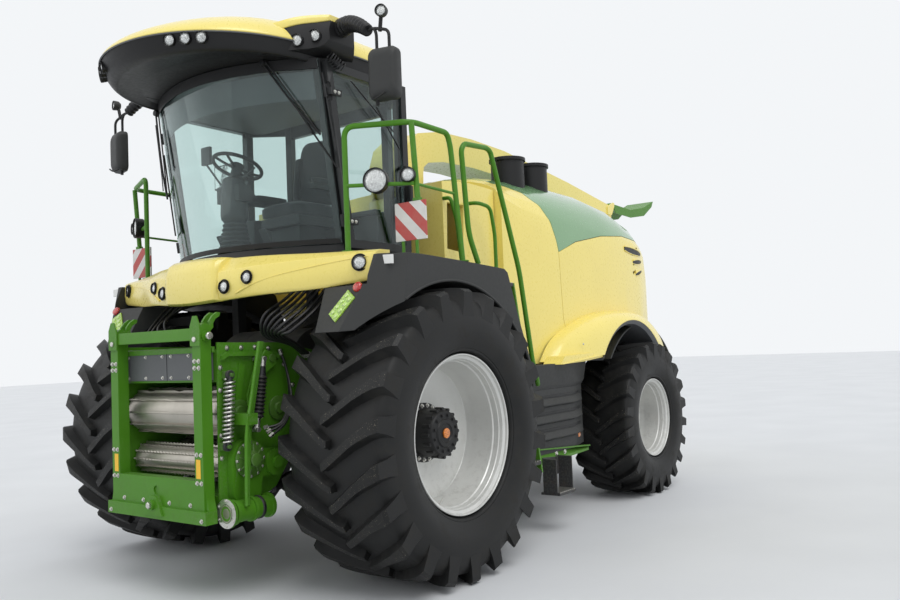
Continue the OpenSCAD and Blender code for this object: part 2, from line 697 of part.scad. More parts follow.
// Steering column with its boot and wheel
column_x = 560;
module steering_column() {
  placed() color(DARK) {
    translate([column_x, 0, floor_top + run_gap]) {
      cylinder(h = 260, r1 = 130, r2 = 95);
      translate([0, 0, 260]) cylinder(h = 90, r = 100);
      translate([0, 0, 350]) cylinder(h = 240, r1 = 95, r2 = 80);
      translate([0, 0, 590]) rotate([0, -22, 0]) {
        cylinder(h = 110, r = 40);
        translate([0, 0, 110]) {
          rotate_extrude() translate([190, 0]) circle(r = 16);
          for (a = [30, 150, 270]) rotate([0, 0, a]) translate([0, -14, -10]) cube([190, 28, 18]);
          translate([0, 0, -14]) cylinder(h = 30, r = 45);
        }
      }
    }
  }
}

// Front fascia: a bowed yellow shell under the windscreen.
// Rows are [share of half width, front x, low z, top z, depth of the top]
fascia_half_w = 1450;
FASCIA_ROWS = [[-1, 585, 2150, 2300, 150], [-0.72, 740, 2115, 2310, 200], [-0.42, 890, 2070, 2320, 250],
               [-0.2, 945, 2035, 2335, 290], [0, 965, 2030, 2340, 300], [0.2, 945, 2035, 2335, 290],
               [0.42, 890, 2070, 2320, 250], [0.72, 740, 2115, 2310, 200], [1, 585, 2150, 2300, 150]];
module fascia() { placed() color(YELLOW) fascia_form(); }
module fascia_form() {
  t = panel_t;
  loft([for (r = FASCIA_ROWS)
    let (y = r[0] * fascia_half_w, x = r[1], low = r[2], top = r[3], deep = r[4], mid = (r[2] + r[3]) / 2)
    [[x - deep, y, top], [x - 60, y, top - 12], [x - 12, y, top - 60], [x, y, mid], [x - 30, y, low],
     [x - 30 - t, y, low], [x - t - 4, y, mid], [x - 24 - t, y, top - 66],
     [x - 70, y, top - 12 - t], [x - deep, y, top - t]]], thin = true);
}

// Front fenders: a housing round the tyre with the platform on top, stepped
// under the fascia's end, and a pod that reaches forward
FENDER_LINE = [[1028, 1840], [1086, 1886], [1060, 1945], [965, 2050], [826, 2108], [632, 2185], [600, 2190],
               [598, 2262], [340, 2258], [-120, 2238], [-700, 2205], [-850, 1800], [-990, 1480], [-940, 1440],
               [880, 1790]];
module fender(side) {
  placed() scale_y(side) color(DARK) difference() {
    slab(FENDER_LINE, cab_half_w + 20, fender_y);
    drum(0, front_tyre_r, 0, 2000, front_tyre_r + 55);
    block([430, 0, 2100], [1200, fascia_half_w + panel_gap, 2400]);
  }
}
module fender_left() { fender(1); }
module fender_right() { fender(-1); }

// Body

// Yellow housing behind the cab, each side of the crop duct
module yellow_front_body() {
  placed() color(YELLOW) both_sides() difference() {
    slab([[cab_rear_x - 20, 2240], [cab_rear_x - 20, 2970], [-1000, 3000], [-1385, 2985],
          [-1385, front_body_low], [-1180, front_body_low], [-700, 2210]], 480, 1110);
    slab([[-680, 2420], [-700, 2800], [-930, 2800], [-900, 2400]], 1050, 1120);
    slab([[cab_rear_x - 100, 2100], [cab_rear_x - 100, 2930], [-1340, 2930], [-1340, 2100]], 440, 1070);
  }
}

// Rear body: rows are [x, half width, shoulder height, crown height]
BODY_ROWS = [[-1395, 1180, 2850, 3150], [-1700, 1215, 2680, 3240], [-2200, 1245, 2560, 3295],
             [-2700, 1260, 2530, 3305], [-3200, 1265, 2520, 3290], [-3700, 1255, 2500, 3235],
             [-4150, 1215, 2450, 3130], [-4450, 1150, 2390, 3010], [-4650, 1070, 2320, 2870],
             [-4790, 960, 2240, 2700]];
body_low = 1440;
body_steps = 9;
body_bow = 2.8;
function arc_y(t) = pow(cos(t), 2 / body_bow);
function arc_z(t) = pow(sin(t), 2 / body_bow);
function body_ring(r, inset, low) =
  let (w = (r[1] - 1265 + body_half_w) - inset, rise = r[3] - inset - r[2])
  concat(
    [[r[0], w, low]],
    [for (i = [0:body_steps]) let (t = 90 * i / body_steps)
      [r[0], w * arc_y(t), r[2] + rise * arc_z(t)]],
    [for (i = [body_steps - 1:-1:0]) let (t = 90 * i / body_steps)
      [r[0], -w * arc_y(t), r[2] + rise * arc_z(t)]],
    [[r[0], -w, low]]);
module body_outer() { loft([for (r = BODY_ROWS) body_ring(r, 0, body_low)]); }
module body_skin() {
  last = len(BODY_ROWS) - 1;
  difference() {
    body_outer();
    loft([for (i = [0:last]) let (r = BODY_ROWS[i], x = i == 0 ? r[0] + 10 : i == last ? r[0] + panel_t : r[0])
      body_ring([x, r[1], r[2], r[3]], panel_t, body_low - 10)]);
  }
}

// Inner strips along the belt that the hood, the side panels and the rear panel rest on
strip_t = 25;
strip_gap = 0.8;
strip_arc = 2;
module body_frame() {
  last = len(BODY_ROWS) - 1;
  rows = [for (i = [2:last]) let (r = BODY_ROWS[i]) [i == last ? rear_wall_x + run_gap : r[0], r[1], r[2], r[3]]];
  placed() color(DARK) both_sides() loft([for (r = rows)
    let (outer = body_ring(r, panel_t + strip_gap, body_low), inner = body_ring(r, panel_t + strip_t, body_low))
    concat([for (k = [0:strip_arc]) outer[k + 1]], [for (k = [strip_arc:-1:0]) inner[k + 1]])]);
}

// The curved seam in side view, from the top of the tower down to the belt
SEAM = [[-1610, 3400], [-1610, 3085], [-1860, 3025], [-2050, 2900], [-2160, 2750], [-2225, 2600], [-2260, 2480]];
BELT = [[-2260, 2480], [-2600, 2600], [-3150, 2700], [-3700, 2745], [-4200, 2735], [-4500, 2690], [-4830, 2600]];
panel_seam = [[-2260, 2480], [-2290, 1850], [-2400, 1500], [-2420, 1000]];

// Tower: the yellow front of the rear body, with its closing wall
module tower() {
  placed() color(YELLOW) difference() { union() {
    intersection() {
      body_skin();
      slab(concat([[-1000, 1000], [-1000, 3400]], SEAM, [for (i = [1:3]) panel_seam[i]]), -1400, 1400);
    }
    difference() {
      intersection() {
        body_outer();
        block([-1425, -1400, tower_wall_low], [-1395, 1400, 3400]);
      }
      block([-1500, -330, 2290], [-1300, 330, 2810]);
    }
  }
    turret_opening();
  }
}
// Room for the turret, wider above it for the raised boom
module turret_opening() {
  translate([turret_x, 0, 2800]) cylinder(h = 800, r = turret_r + 35);
  translate([turret_x, 0, 3150]) cylinder(h = 400, r = turret_r + 80);
}

// Green hood between the seam and the belt
module hood_top() {
  g = panel_gap;
  placed() color(GREEN) intersection() {
    body_skin();
    slab(concat([for (p = SEAM) [p[0] - g * 0.7, p[1] + g * 0.7]],
                [for (i = [1:len(BELT) - 1]) [BELT[i][0], BELT[i][1] + g]], [[-4900, 3400]]), -1400, 1400);
    difference() {
      block([-5000, -1400, 2000], [-1000, 1400, 3500]);
      turret_opening();
    }
  }
}

// Yellow side panel under the belt; vents near its rear edge
VENTS = [[-4060, 2610, 230, 46], [-4020, 2480, 130, 40], [-3990, 2370, 100, 34]];
module side_panel(side) {
  g = panel_gap;
  placed() scale_y(side) color(YELLOW) difference() {
    intersection() {
      body_skin();
      slab(concat([for (i = [0:len(BELT) - 2]) BELT[i]],
                  [[rear_wall_x + g, 2612], [rear_wall_x + g, 1300], [-2420 - g, 1300]],
                  [for (p = backwards([for (i = [0:2]) panel_seam[i]])) [p[0] - g, p[1]]]), 30, 1400);
    }
    for (v = VENTS) translate([v[0], 0, v[1]]) rotate([0, 18, 0])
      block([-v[2] / 2, 1000, -v[3] / 2], [v[2] / 2, 1400, v[3] / 2]);
    // The fender covers the panel's foot round the wheel
    drum(-wheelbase, rear_tyre_r, 0, 1500, rear_arch_r + 40);
  }
}
// Rear closing wall between the side panels, with slots for the cooler's air
rear_wall_x = BODY_ROWS[len(BODY_ROWS) - 1][0] + panel_t;
module rear_panel() {
  placed() color(YELLOW) difference() {
    intersection() {
      body_skin();
      slab([[rear_wall_x, 1300], [rear_wall_x, 2612], [-4830, 2592], [-4830, 1300]], -1400, 1400);
    }
    for (z = [1560:90:2280]) block([-4900, -640, z], [-4700, 640, z + 45]);
  }
}
module side_panel_left() { side_panel(1); }
module side_panel_right() { side_panel(-1); }

// Rear fender: rows are [x, crest height, bulge beyond the body]
FENDER_ROWS = [[-4790, 1350, 80], [-4650, 1600, 120], [-4450, 1790, 140], [-4150, 1960, 150],
               [-3700, 2070, 155], [-3200, 2045, 140], [-2700, 1930, 100], [-2300, 1800, 30]];
module rear_fender(side) {
  placed() scale_y(side) color(YELLOW) difference() {
    loft([for (r = FENDER_ROWS)
      let (y0 = column(BODY_ROWS, r[0], 1) - 1265 + body_half_w + run_gap, y1 = y0 + r[2], low = body_low - 10)
      [[r[0], y0, low], [r[0], y1, low], [r[0], y1, r[1] - r[2] * 0.7], [r[0], y0, r[1]]]]);
    drum(-wheelbase, rear_tyre_r, 0, 2000, rear_arch_r);
  }
}
module rear_fender_left() { rear_fender(1); }
module rear_fender_right() { rear_fender(-1); }

// Dark liners inside the rear wheel arches, with their lips in the fenders' cut-outs
liner_t = 22;
module wheel_arches() {
  placed() color(DARK) both_sides() intersection() {
    difference() {
      drum(-wheelbase, rear_tyre_r, 560, 1385, rear_arch_r - run_gap);
      drum(-wheelbase, rear_tyre_r, 500, 1500, rear_arch_r - liner_t);
    }
    block([-wheelbase - 1100, 500, body_low], [-wheelbase + 1100, 1500, 2000]);
  }
}

// Dark ribbed panels under the body, between the wheels
panel_x0 = -1520;
panel_x1 = -2520;
rib_count = 5;
rib_y = 1368;
lower_panel_y = 1195;
lower_panel_top = body_low - 10 - run_gap;
module lower_panels() {
  pitch = 150;
  placed() color(DARK) both_sides() {
    slab([[panel_x0, lower_panel_top], [panel_x0 - 30, 700], [panel_x0 - 230, 620], [panel_x1 + 150, 620],
          [panel_x1, 900], [panel_x1 + 10, lower_panel_top]], lower_panel_y, 1330);
    for (i = [0:rib_count - 1])
      block([panel_x1 + 60, 1330, 680 + i * pitch], [panel_x0 - 60, rib_y, 680 + i * pitch + 90]);
  }
}

// Handrails on both platforms. The front post stands on the fascia, and the
// second one on the warning board's bracket.
PLATFORM_RAIL = [[546, 1170, 2305.4], [546, 1170, 3177], [361, 1620, 3165], [-46, 1620, 3158], [-78, 1620, 3060],
                 [-173, 1620, 2240]];
MID_RAIL = [[551, 1170, 2763], [366, side_rail_y, 2741]];
board_x = 330;
BOARD = [1430, 1700, 2360, 2625];
module platform_rails() {
  r = tube_r;
  y = side_rail_y;
  placed() color(GREEN) both_sides() {
    tube_path(PLATFORM_RAIL, r);
    rod([361, y, 3160], [323, y, 2642], r);
    block([305, y - 26, BOARD[3] + run_gap], [345, y + 26, BOARD[3] + 22]);
    rod(MID_RAIL[0], MID_RAIL[1], r * 0.75);
    rod([333, y, 2741], [-131, y, 2725], r * 0.5);
    for (foot_y = [1490, 1610]) block([326, foot_y - 12, 2258.5], [344, foot_y + 12, BOARD[2] - run_gap]);
  }
}

// Ladder behind the left front wheel: landing, two stringers, treads and handrails
LADDER_RAIL = [[-369, 1620, 2234], [-262, 1620, 2446], [-210, 1620, 3061], [-250, 1620, 3115], [-570, 1600, 3140],
               [-625, 1600, 3120], [-968, 1600, 2216], [-1116, 1600, 1451], [-1160, 1605, 1330], [-1300, 1640, 1290]];
INNER_RAILS = [[[-650, 1112, 2825], [-640, 1190, 2820], [-700, 1200, 2640], [-760, 1200, 2180]],
               [[-960, 1112, 2815], [-960, 1230, 2810], [-1117, 1250, 2787], [-1170, 1250, 2560], [-1170, 1250, 2180]]];
step_x0 = -1620;
step_x1 = -2110;
module ladder() {
  placed() color(GREEN) {
    tube_path(LADDER_RAIL, tube_r);
    for (p = INNER_RAILS) tube_path(p, tube_r * 0.8, 60);
    block([-1190, 1115, 2150], [-724, 1655, 2180]);
    for (y = [1290, 1635]) slab([[-1130, 2160], [-1180, 2160], [-1560, 600], [-1440, 600]], y, y + 20);
    // Plate over the lower panels' ribs, with the two bottom steps hung from it
    block([step_x1 - 300, rib_y + run_gap, 625], [-1470, rib_y + 16, 775]);
    for (x = [step_x0 - 12, step_x1]) block([x, rib_y + run_gap, 315], [x + 12, rib_y + 172, 640]);
    for (z = [315, 545]) block([step_x1, rib_y + run_gap, z], [step_x0, rib_y + 190, z + 25]);
    for (i = [0:4]) let (t = i / 5) block([-1500 + 330 * t, 1309, 640 + 1550 * t], [-1340 + 330 * t, 1636, 670 + 1550 * t]);
  }
}

// Two black stacks on the hood's left shoulder
STACKS = [[-2080, 830], [-2520, 830]];
module stacks() {
  placed() color(BLACK) for (s = STACKS) difference() {
    translate([s[0], s[1], 0]) {
      translate([0, 0, 3080]) cylinder(h = stack_top_z - 3080, r = stack_r);
      translate([0, 0, stack_top_z - 30]) cylinder(h = 30, r = stack_r + 16);
    }
    translate([s[0], s[1], stack_top_z - 140]) cylinder(h = 200, r = stack_r - 8);
    body_outer();
  }
}

// Mirrors on arms from the roof's corners. Rows are [x, share of the housing's size]
mirror_low_z = 3300;
mirror_half_w = 115;
mirror_half_h = 185;
mirror_corner = 55;
MIRROR_ROWS = [[-62, 0.62], [-40, 0.9], [-10, 1], [38, 1], [48, 0.94]];
function rounded(x, half_w, half_h, corner) =
  [for (q = [0:3]) for (k = [0:3]) let (a = 90 * q + 30 * k,
     sy = (q == 0 || q == 3) ? 1 : -1, sz = q < 2 ? 1 : -1)
    [x, sy * (half_w - corner) + corner * cos(a), sz * (half_h - corner) + corner * sin(a)]];
module mirrors() {
  placed() color(BLACK) {
    difference() {
      both_sides() rod([700, 1020, 3832], [680, mirror_y - 90, 3800], 36);
      roof_form();
    }
    both_sides() {
      rod([680, mirror_y - 100, 3800], [620, mirror_y, 3655], 18);
      translate([620, mirror_y, mirror_low_z + mirror_half_h]) rotate([0, 0, 12])
        loft([for (r = MIRROR_ROWS) rounded(r[0], mirror_half_w * r[1], mirror_half_h * r[1], mirror_corner)]);
    }
  }
}

// Red and white boards on brackets beside the platform rails
module warning_boards() {
  placed() color("red") both_sides() block([board_x, BOARD[0], BOARD[2]], [board_x + 12, BOARD[1], BOARD[3]]);
}

// Round lamps seated in the visor, on the fascia and on the platform rails, and the beacon on the roof.
// Fascia lamps are [x, y, z, turn outward, radius]
ROOF_LAMPS = [[1395, 450], [1340, 600], [1280, 750]];
FASCIA_LAMPS = [[619, 1360, 2215, 21, 52], [902, 540, 2165, 10, 44], [933, 360, 2110, 7, 44]];
rail_lamp_y = 1400;
rail_lamp_x = MID_RAIL[0][0] + (MID_RAIL[1][0] - MID_RAIL[0][0]) * (rail_lamp_y - MID_RAIL[0][1])
            / (MID_RAIL[1][1] - MID_RAIL[0][1]);
module lamps() {
  placed() color(SILVER) {
    difference() {
      both_sides() for (p = ROOF_LAMPS)
        translate([p[0] - 80, p[1], roof_z + 32]) rotate([0, 90, 0]) cylinder(h = 100, r = 34);
      visor_form();
    }
    translate([250, 480, roof_z + ROOF_ROWS[5][0] + 2 * run_gap]) cylinder(h = 110, r = 62);
    difference() {
      both_sides() for (p = FASCIA_LAMPS) translate([p[0], p[1], p[2]]) rotate([0, 0, p[3]]) rotate([0, 90, 0])
        translate([0, 0, -14]) cylinder(h = 42, r = p[4]);
      fascia_form();
    }
    both_sides() difference() {
      translate([rail_lamp_x, rail_lamp_y, 2752]) rotate([0, 0, 22.4]) rotate([0, 90, 0])
        cylinder(h = 95, r1 = 50, r2 = 88);
      rod(MID_RAIL[0], MID_RAIL[1], tube_r * 0.75 + run_gap);
    }
  }
}

// Intake

intake_x = 1020;
upper_z = 1245;
lower_z = 900;
second_dx = 350;
upper_shaft_r = 40;
lower_shaft_r = 35;

// Side plates, decks and cross members of the intake housing
module intake_housing() {
  y0 = intake_half_w - intake_plate_t;
  floor_half_w = lift_y - lift_r - 15;
  side_outline = [[drum_x - 90, drum_z - 60], [drum_x - 90, drum_z + 60], [drum_x, drum_z + 110],
                  [620, 1710], [1180, 1720], [1190, 560], [1060, 540], [700, 700], [470, 1000],
                  [400, 1330], [drum_x, drum_z - 110]];
  placed() color(GREEN) difference() {
    union() {
      both_sides() slab(side_outline, y0, intake_half_w);
      block([640, -y0, 1640], [1180, y0, 1675]);
      block([1150, -y0, 1455], [1180, y0, 1675]);
      block([1080, -y0, 545], [1185, y0, 700]);
      // Floor between the lift cylinders
      block([780, -floor_half_w, 690], [1100, floor_half_w, 706]);
      // Boss and pin that the pendulum frame swings on
      block([1150, -80, 700], [1185, 80, swing_z + 50]);
      translate([1160, 0, swing_z]) rotate([0, 90, 0]) cylinder(h = frame_x1 - 10 - 1160, r = swing_pin_r);
      // Clevises for the rods' eyes
      both_sides() for (y = [LIFT_EYE[1] - 52, LIFT_EYE[1] + 32])
        block([LIFT_EYE[0] - 40, y, LIFT_EYE[2] - 40], [1085, y + 20, 702]);
      both_sides() drum(LIFT_EYE[0], LIFT_EYE[2], LIFT_EYE[1] - 50, y0 + 1, lift_eye_pin_r);
    }
    drum(drum_x, drum_z, -700, 700, intake_stub_r + 0.05);
    for (x = [intake_x, intake_x - second_dx]) {
      drum(x, upper_z, -700, 700, upper_shaft_r + 0.05);
      drum(x, lower_z, -700, 700, lower_shaft_r + 0.05);
    }
  }
}

// Drive on the left of the intake: a scroll-shaped gearbox with its cover and boss, the barrel and
// disc that drive the header, a second housing behind, and the pipes with their clamp.
// Pipes are [x shift, y, low end z]
GEAR = [990, 925];
gear_r = 138;
header_shaft_z = 600;
PIPES = [[-60, 668, 860], [-28, 690, 640], [4, 712, 640]];
module intake_drive() {
  y0 = intake_half_w + run_gap;
  placed() color(GREEN) {
    drum(GEAR[0], GEAR[1], y0, y0 + 62, gear_r);
    slab([[GEAR[0] + gear_r, GEAR[1]], [1124, 700], [1090, 640], [900, 640], [GEAR[0] - gear_r, GEAR[1]]], y0, y0 + 62);
    drum(GEAR[0], GEAR[1], y0 + 60, y0 + 84, gear_r - 24);
    drum(GEAR[0] + 20, GEAR[1] - 15, y0 + 80, y0 + 112, 44);
    drum(760, 880, y0, y0 + 80, 92);
    slab([[760, 972], [940, 990], [940, 800], [760, 788]], y0, y0 + 54);
    drum(760, 880, y0 + 78, y0 + 104, 40);
    translate([850, y0 + 85, header_shaft_z]) rotate([0, 90, 0]) {
      cylinder(h = 340, r = 72);
      for (x = [0, 150, 300]) translate([0, 0, x]) cylinder(h = 22, r = 84);
      translate([0, 0, 340]) difference() {
        cylinder(h = 20, r = 96);
        for (k = [0:5]) rotate([0, 0, 60 * k]) translate([70, 0, -1]) cylinder(h = 22, r = 13);
      }
    }
    for (p = PIPES) tube_path([[960 + p[0], p[1], 1715], [1090 + p[0], p[1], 1115], [1104 + p[0], p[1], p[2]]], 13, 80);
    block([1008, y0, 1165], [1092, 730, 1240]);
    slab([[960, 1560], [1010, 1575], [1040, 1400], [1060, 1230], [1020, 1225], [990, 1395]], y0, y0 + 14);
  }
}

// A feed roller: drum, ribs and a shaft that ends inside the side plates
module feed_roller(x, z, r, shaft_r, bars) {
  half = intake_half_w - intake_plate_t - 12;
  drum(x, z, -half, half, r - 14);
  drum(x, z, -intake_half_w + 1, intake_half_w - 1, shaft_r);
  for (k = [0:bars - 1]) translate([x, 0, z]) rotate([0, k * 360 / bars, 0])
    block([r - 20, -half, -6], [r, half, 6]);
}
module feed_upper_front() { placed() color(SILVER) feed_roller(intake_x, upper_z, feed_upper_r, upper_shaft_r, 10); }
module feed_upper_rear() {
  placed() color(SILVER) feed_roller(intake_x - second_dx, upper_z, feed_upper_r, upper_shaft_r, 10);
}
module feed_lower_front() { placed() color(DARK) feed_roller(intake_x, lower_z, feed_lower_r, lower_shaft_r, 10); }
module feed_lower_rear() {
  placed() color(DARK) feed_roller(intake_x - second_dx, lower_z, feed_lower_r, lower_shaft_r, 10);
}

// Lift cylinders from the front axle to the intake, one each side
lift_rod_r = 24;
lift_eye_r = 48;
lift_eye_hole_r = 33;
function along(t) = LIFT_FOOT + t * (LIFT_EYE - LIFT_FOOT);
module lift_cylinders() {
  placed() color(BLACK) both_sides() difference() {
    union() {
      rod(along(0.04), along(0.66), lift_r);
      drum(LIFT_FOOT[0], LIFT_FOOT[2], lift_y - lift_r, lift_y + lift_r, 42);
    }
    rod(along(0.12), along(0.7), lift_rod_r + 0.05);
    drum(LIFT_FOOT[0], LIFT_FOOT[2], 0, 900, lift_pin_r + 0.05);
  }
}
// The rods; the hole of each eye is wider than its pin, and drifts round it
module lift_rods() {
  placed() color(SILVER) both_sides() difference() {
    union() {
      rod(along(0.38), along(0.955), lift_rod_r);
      drum(LIFT_EYE[0], LIFT_EYE[2], LIFT_EYE[1] - 26, LIFT_EYE[1] + 26, lift_eye_r);
    }
    drum(LIFT_EYE[0], LIFT_EYE[2], 0, 900, lift_eye_hole_r);
  }
}

// Pendulum frame that carries the header; it swings on a pin over the intake's cross member
frame_x0 = 1215;
frame_x1 = 1300;
swing_z = 727;
swing_pin_r = 30;
// Hook over each post, in side view
HOOK = [[1225, 1800], [1225, 1862], [1196, 1900], [1160, 1925], [1132, 1922], [1140, 1898], [1172, 1880],
        [1192, 1850], [1192, 1822], [1215, 1800]];
module pendulum_frame() {
  half = post_frame_w / 2;
  mid_x = (frame_x0 + frame_x1) / 2;
  placed() color(GREEN) difference() {
    union() {
      both_sides() {
        block([frame_x0, post_y - half, 620], [frame_x1, post_y + half, 1810]);
        drum(mid_x, 1810, post_y - half, post_y + half, (frame_x1 - frame_x0) / 2);
        for (y = [post_y - half, post_y + half - 18]) slab(HOOK, y, y + 18);
        // Coupling pin with its collar, and the foot that tapers to the bottom bar
        drum(mid_x, 1765, post_y + half, post_y + half + 14, 36);
        drum(mid_x, 1765, post_y + half + 14, post_y + half + 34, 24);
        wall([[post_y + half - 1, 620], [post_y + half + 34, 620], [post_y + half - 1, 760]], frame_x0 + 12, frame_x1 - 12);
      }
      block([frame_x0, -post_y, 1740], [frame_x1, post_y, 1820]);
      block([frame_x0, -post_y, 620], [frame_x1, post_y, 815]);
      block([frame_x0 + 10, -560, 535], [frame_x1 + 20, 560, 620]);
      // Triangular bracket with its pivot's boss, in front of the lower beam
      wall([[-105, 560], [105, 560], [36, 690], [-36, 690]], frame_x1 - 1, frame_x1 + 34);
      translate([frame_x1 + 30, 0, 632]) rotate([0, 90, 0]) cylinder(h = 26, r = 34);
    }
    translate([frame_x0 - 50, 0, swing_z]) rotate([0, 90, 0]) cylinder(h = 200, r = swing_pin_r + 0.05);
  }
}

// Chute: the turret turns, the boom lifts on it, the flap steers the crop
chute_pivot_z = 3140;
chute_pin_r = 25;
ear_t = 28;
ear_y = chute_w / 2 + 8;
module turret() {
  placed() color(YELLOW) difference() {
    union() {
      translate([turret_x, 0, turret_low]) cylinder(h = 120, r = turret_r);
      both_sides() {
        block([turret_x - 80, ear_y, turret_low + 100], [turret_x + 80, ear_y + ear_t, chute_pivot_z]);
        drum(turret_x, chute_pivot_z, ear_y, ear_y + ear_t, 80);
      }
    }
    translate([turret_x, 0, turret_low - 10]) cylinder(h = 200, r = turret_r - 16);
    drum(turret_x, chute_pivot_z, -400, 400, chute_pin_r + 0.05);
  }
}

// Boom duct: rows are [x, z of the duct's middle, angle of its section]
BOOM_ROWS = [[-1390, 3160, 90], [-1400, 3330, 76], [-1440, 3450, 52], [-1560, 3545, 28],
             [-1860, 3605, 8], [-2380, 3622, -1], [-3000, 3600, -4], [-4400, 3440, -7.5], [-5600, 3270, -8]];
// The duct's line at a share of its half height, from its low end to its mouth
function boom_line(h) = [for (r = BOOM_ROWS) [r[0] + h * sin(r[2]), r[1] + h * cos(r[2])]];
module duct(w, h, t) {
  inner = w / 2 - t - run_gap;
  for (s = SIDES) slab(concat(boom_line(s * h / 2), backwards(boom_line(s * (h / 2 - t)))), -inner, inner);
  both_sides() slab(concat(boom_line(h / 2), backwards(boom_line(-h / 2))), w / 2 - t, w / 2);
}
flap_x = -5665;
flap_z = 3450;
flap_pin_r = 12;
module chute_boom() {
  placed() color(YELLOW) {
    duct(chute_w, chute_h, chute_t);
    both_sides() {
      drum(turret_x, chute_pivot_z, chute_w / 2 - chute_t, ear_y + ear_t + 6, chute_pin_r);
      drum(turret_x, chute_pivot_z, chute_w / 2 - chute_t, chute_w / 2 + 7, 60);
      // Ears that hold the flap's pin
      slab([[-5480, 3400], [-5480, 3300], [-5600, 3300], [flap_x - 24, flap_z - 20], [flap_x - 24, flap_z + 20],
            [flap_x + 20, flap_z + 24]], chute_w / 2 - 1, chute_w / 2 + 12);
    }
    drum(flap_x, flap_z, -chute_w / 2 - 10, chute_w / 2 + 10, flap_pin_r);
  }
}

// End flap: a deflector plate with side cheeks, hinged over the boom's mouth
flap_t = 14;
module chute_flap() {
  half = chute_w / 2 - 8;
  upper = [[flap_x - 20, flap_z + 12], [-6250, 3440], [-6700, 3520], [-chute_reach, 3650]];
  placed() color(GREEN) difference() {
    union() {
      slab(concat(upper, [for (q = backwards(upper)) [q[0] + 2, q[1] - flap_t]]), -half, half);
      both_sides() slab(concat(upper, [[-chute_reach + 60, 3560], [-6700, 3400], [-6250, 3330], [flap_x - 100, 3345]]),
                        half - 10, half);
      drum(flap_x, flap_z, -half, half, flap_pin_r + 12);
    }
    drum(flap_x, flap_z, -400, 400, flap_pin_r + 0.05);
  }
}

frame_rails();
platform_frame();
front_axle();
rear_axle();
engine_block();
fuel_tank();
drum_housing();
front_tyre_left();
front_rim_left();
front_tyre_right();
front_rim_right();
knuckle_left();
rear_tyre_left();
rear_rim_left();
knuckle_right();
rear_tyre_right();
rear_rim_right();
steering_rod();
cab_shell();
cab_glass();
cab_roof();
roof_visor();
cab_seat();
steering_column();
cab_door();
door_glass();
fascia();
fender_left();
fender_right();
yellow_front_body();
tower();
hood_top();
side_panel_left();
side_panel_right();
rear_panel();
body_frame();
rear_fender_left();
rear_fender_right();
wheel_arches();
lower_panels();
platform_rails();
ladder();
stacks();
mirrors();
warning_boards();
lamps();
intake_housing();
intake_drive();
lift_cylinders();
lift_rods();
pendulum_frame();
feed_upper_front();
feed_upper_rear();
feed_lower_front();
feed_lower_rear();
turret();
chute_boom();
chute_flap();
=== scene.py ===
"""Looks of a self-propelled forage harvester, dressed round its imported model. Metres, +X forward, +Z up."""

import json
import math

import bmesh
import bpy
from mathutils import Matrix, Vector


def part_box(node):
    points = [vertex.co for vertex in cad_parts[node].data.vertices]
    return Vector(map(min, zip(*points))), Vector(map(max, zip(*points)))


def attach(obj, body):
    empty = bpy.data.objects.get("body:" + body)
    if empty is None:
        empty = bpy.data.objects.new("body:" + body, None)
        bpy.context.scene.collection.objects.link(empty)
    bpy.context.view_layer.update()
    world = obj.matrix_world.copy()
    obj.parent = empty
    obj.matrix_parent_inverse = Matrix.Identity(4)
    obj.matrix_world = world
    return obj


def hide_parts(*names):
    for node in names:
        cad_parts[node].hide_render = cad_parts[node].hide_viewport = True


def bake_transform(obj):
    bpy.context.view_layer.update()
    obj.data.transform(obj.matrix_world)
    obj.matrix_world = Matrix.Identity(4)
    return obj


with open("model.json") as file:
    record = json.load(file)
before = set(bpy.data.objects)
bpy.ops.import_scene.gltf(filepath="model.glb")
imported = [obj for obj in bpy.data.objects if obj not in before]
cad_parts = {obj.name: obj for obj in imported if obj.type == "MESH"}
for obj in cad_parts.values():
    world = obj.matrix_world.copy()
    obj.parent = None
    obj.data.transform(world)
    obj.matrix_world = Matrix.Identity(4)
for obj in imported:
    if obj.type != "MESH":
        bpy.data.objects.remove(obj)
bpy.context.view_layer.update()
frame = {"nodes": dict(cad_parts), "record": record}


# Places. Points are written from the ground under the front axle, as (x forward, y left, z up).

tyre_low, tyre_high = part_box("front_tyre_left")
AXLE_X = (tyre_low.x + tyre_high.x) / 2
SIDES = ((1, "left"), (-1, "right"))
FORE, LEFT, UP = (1, 0, 0), (0, 1, 0), (0, 0, 1)


def at(x, y, z):
    return Vector((x + AXLE_X, y, z))


def along(a, b, share):
    return a + (b - a) * share


def smoothed(rows, per=6, closed=False):
    """Rows of numbers or points, with a Catmull-Rom curve's rows put between them."""
    rows = [Vector(r) for r in rows]
    last = len(rows) - 1
    out = []
    for i in range(len(rows) if closed else last):
        if closed:
            p = [rows[(i + k) % len(rows)] for k in (-1, 0, 1, 2)]
        else:
            p = [rows[max(i - 1, 0)], rows[i], rows[i + 1], rows[min(i + 2, last)]]
        for k in range(per):
            t = k / per
            out.append(
                0.5 * (2 * p[1] + (p[2] - p[0]) * t
                       + (2 * p[0] - 5 * p[1] + 4 * p[2] - p[3]) * t * t
                       + (3 * p[1] - p[0] - 3 * p[2] + p[3]) * t ** 3)
            )
    return out if closed else out + [rows[-1]]


# Shapes: each is (points, faces)
def joined(*shapes):
    points, faces = [], []
    for p, f in shapes:
        base = len(points)
        points += p
        faces += [tuple(i + base for i in face) for face in f]
    return points, faces


def loft(rings, caps=True, loop=True):
    """Faces between rings of as many points."""
    n, m = len(rings[0]), len(rings)
    wide = n if loop else n - 1
    faces = [
        (k * n + i, k * n + (i + 1) % n, (k + 1) * n + (i + 1) % n, (k + 1) * n + i)
        for k in range(m - 1)
        for i in range(wide)
    ]
    if caps:
        faces += [tuple(reversed(range(n))), tuple(range((m - 1) * n, m * n))]
    return [Vector(p) for ring in rings for p in ring], faces


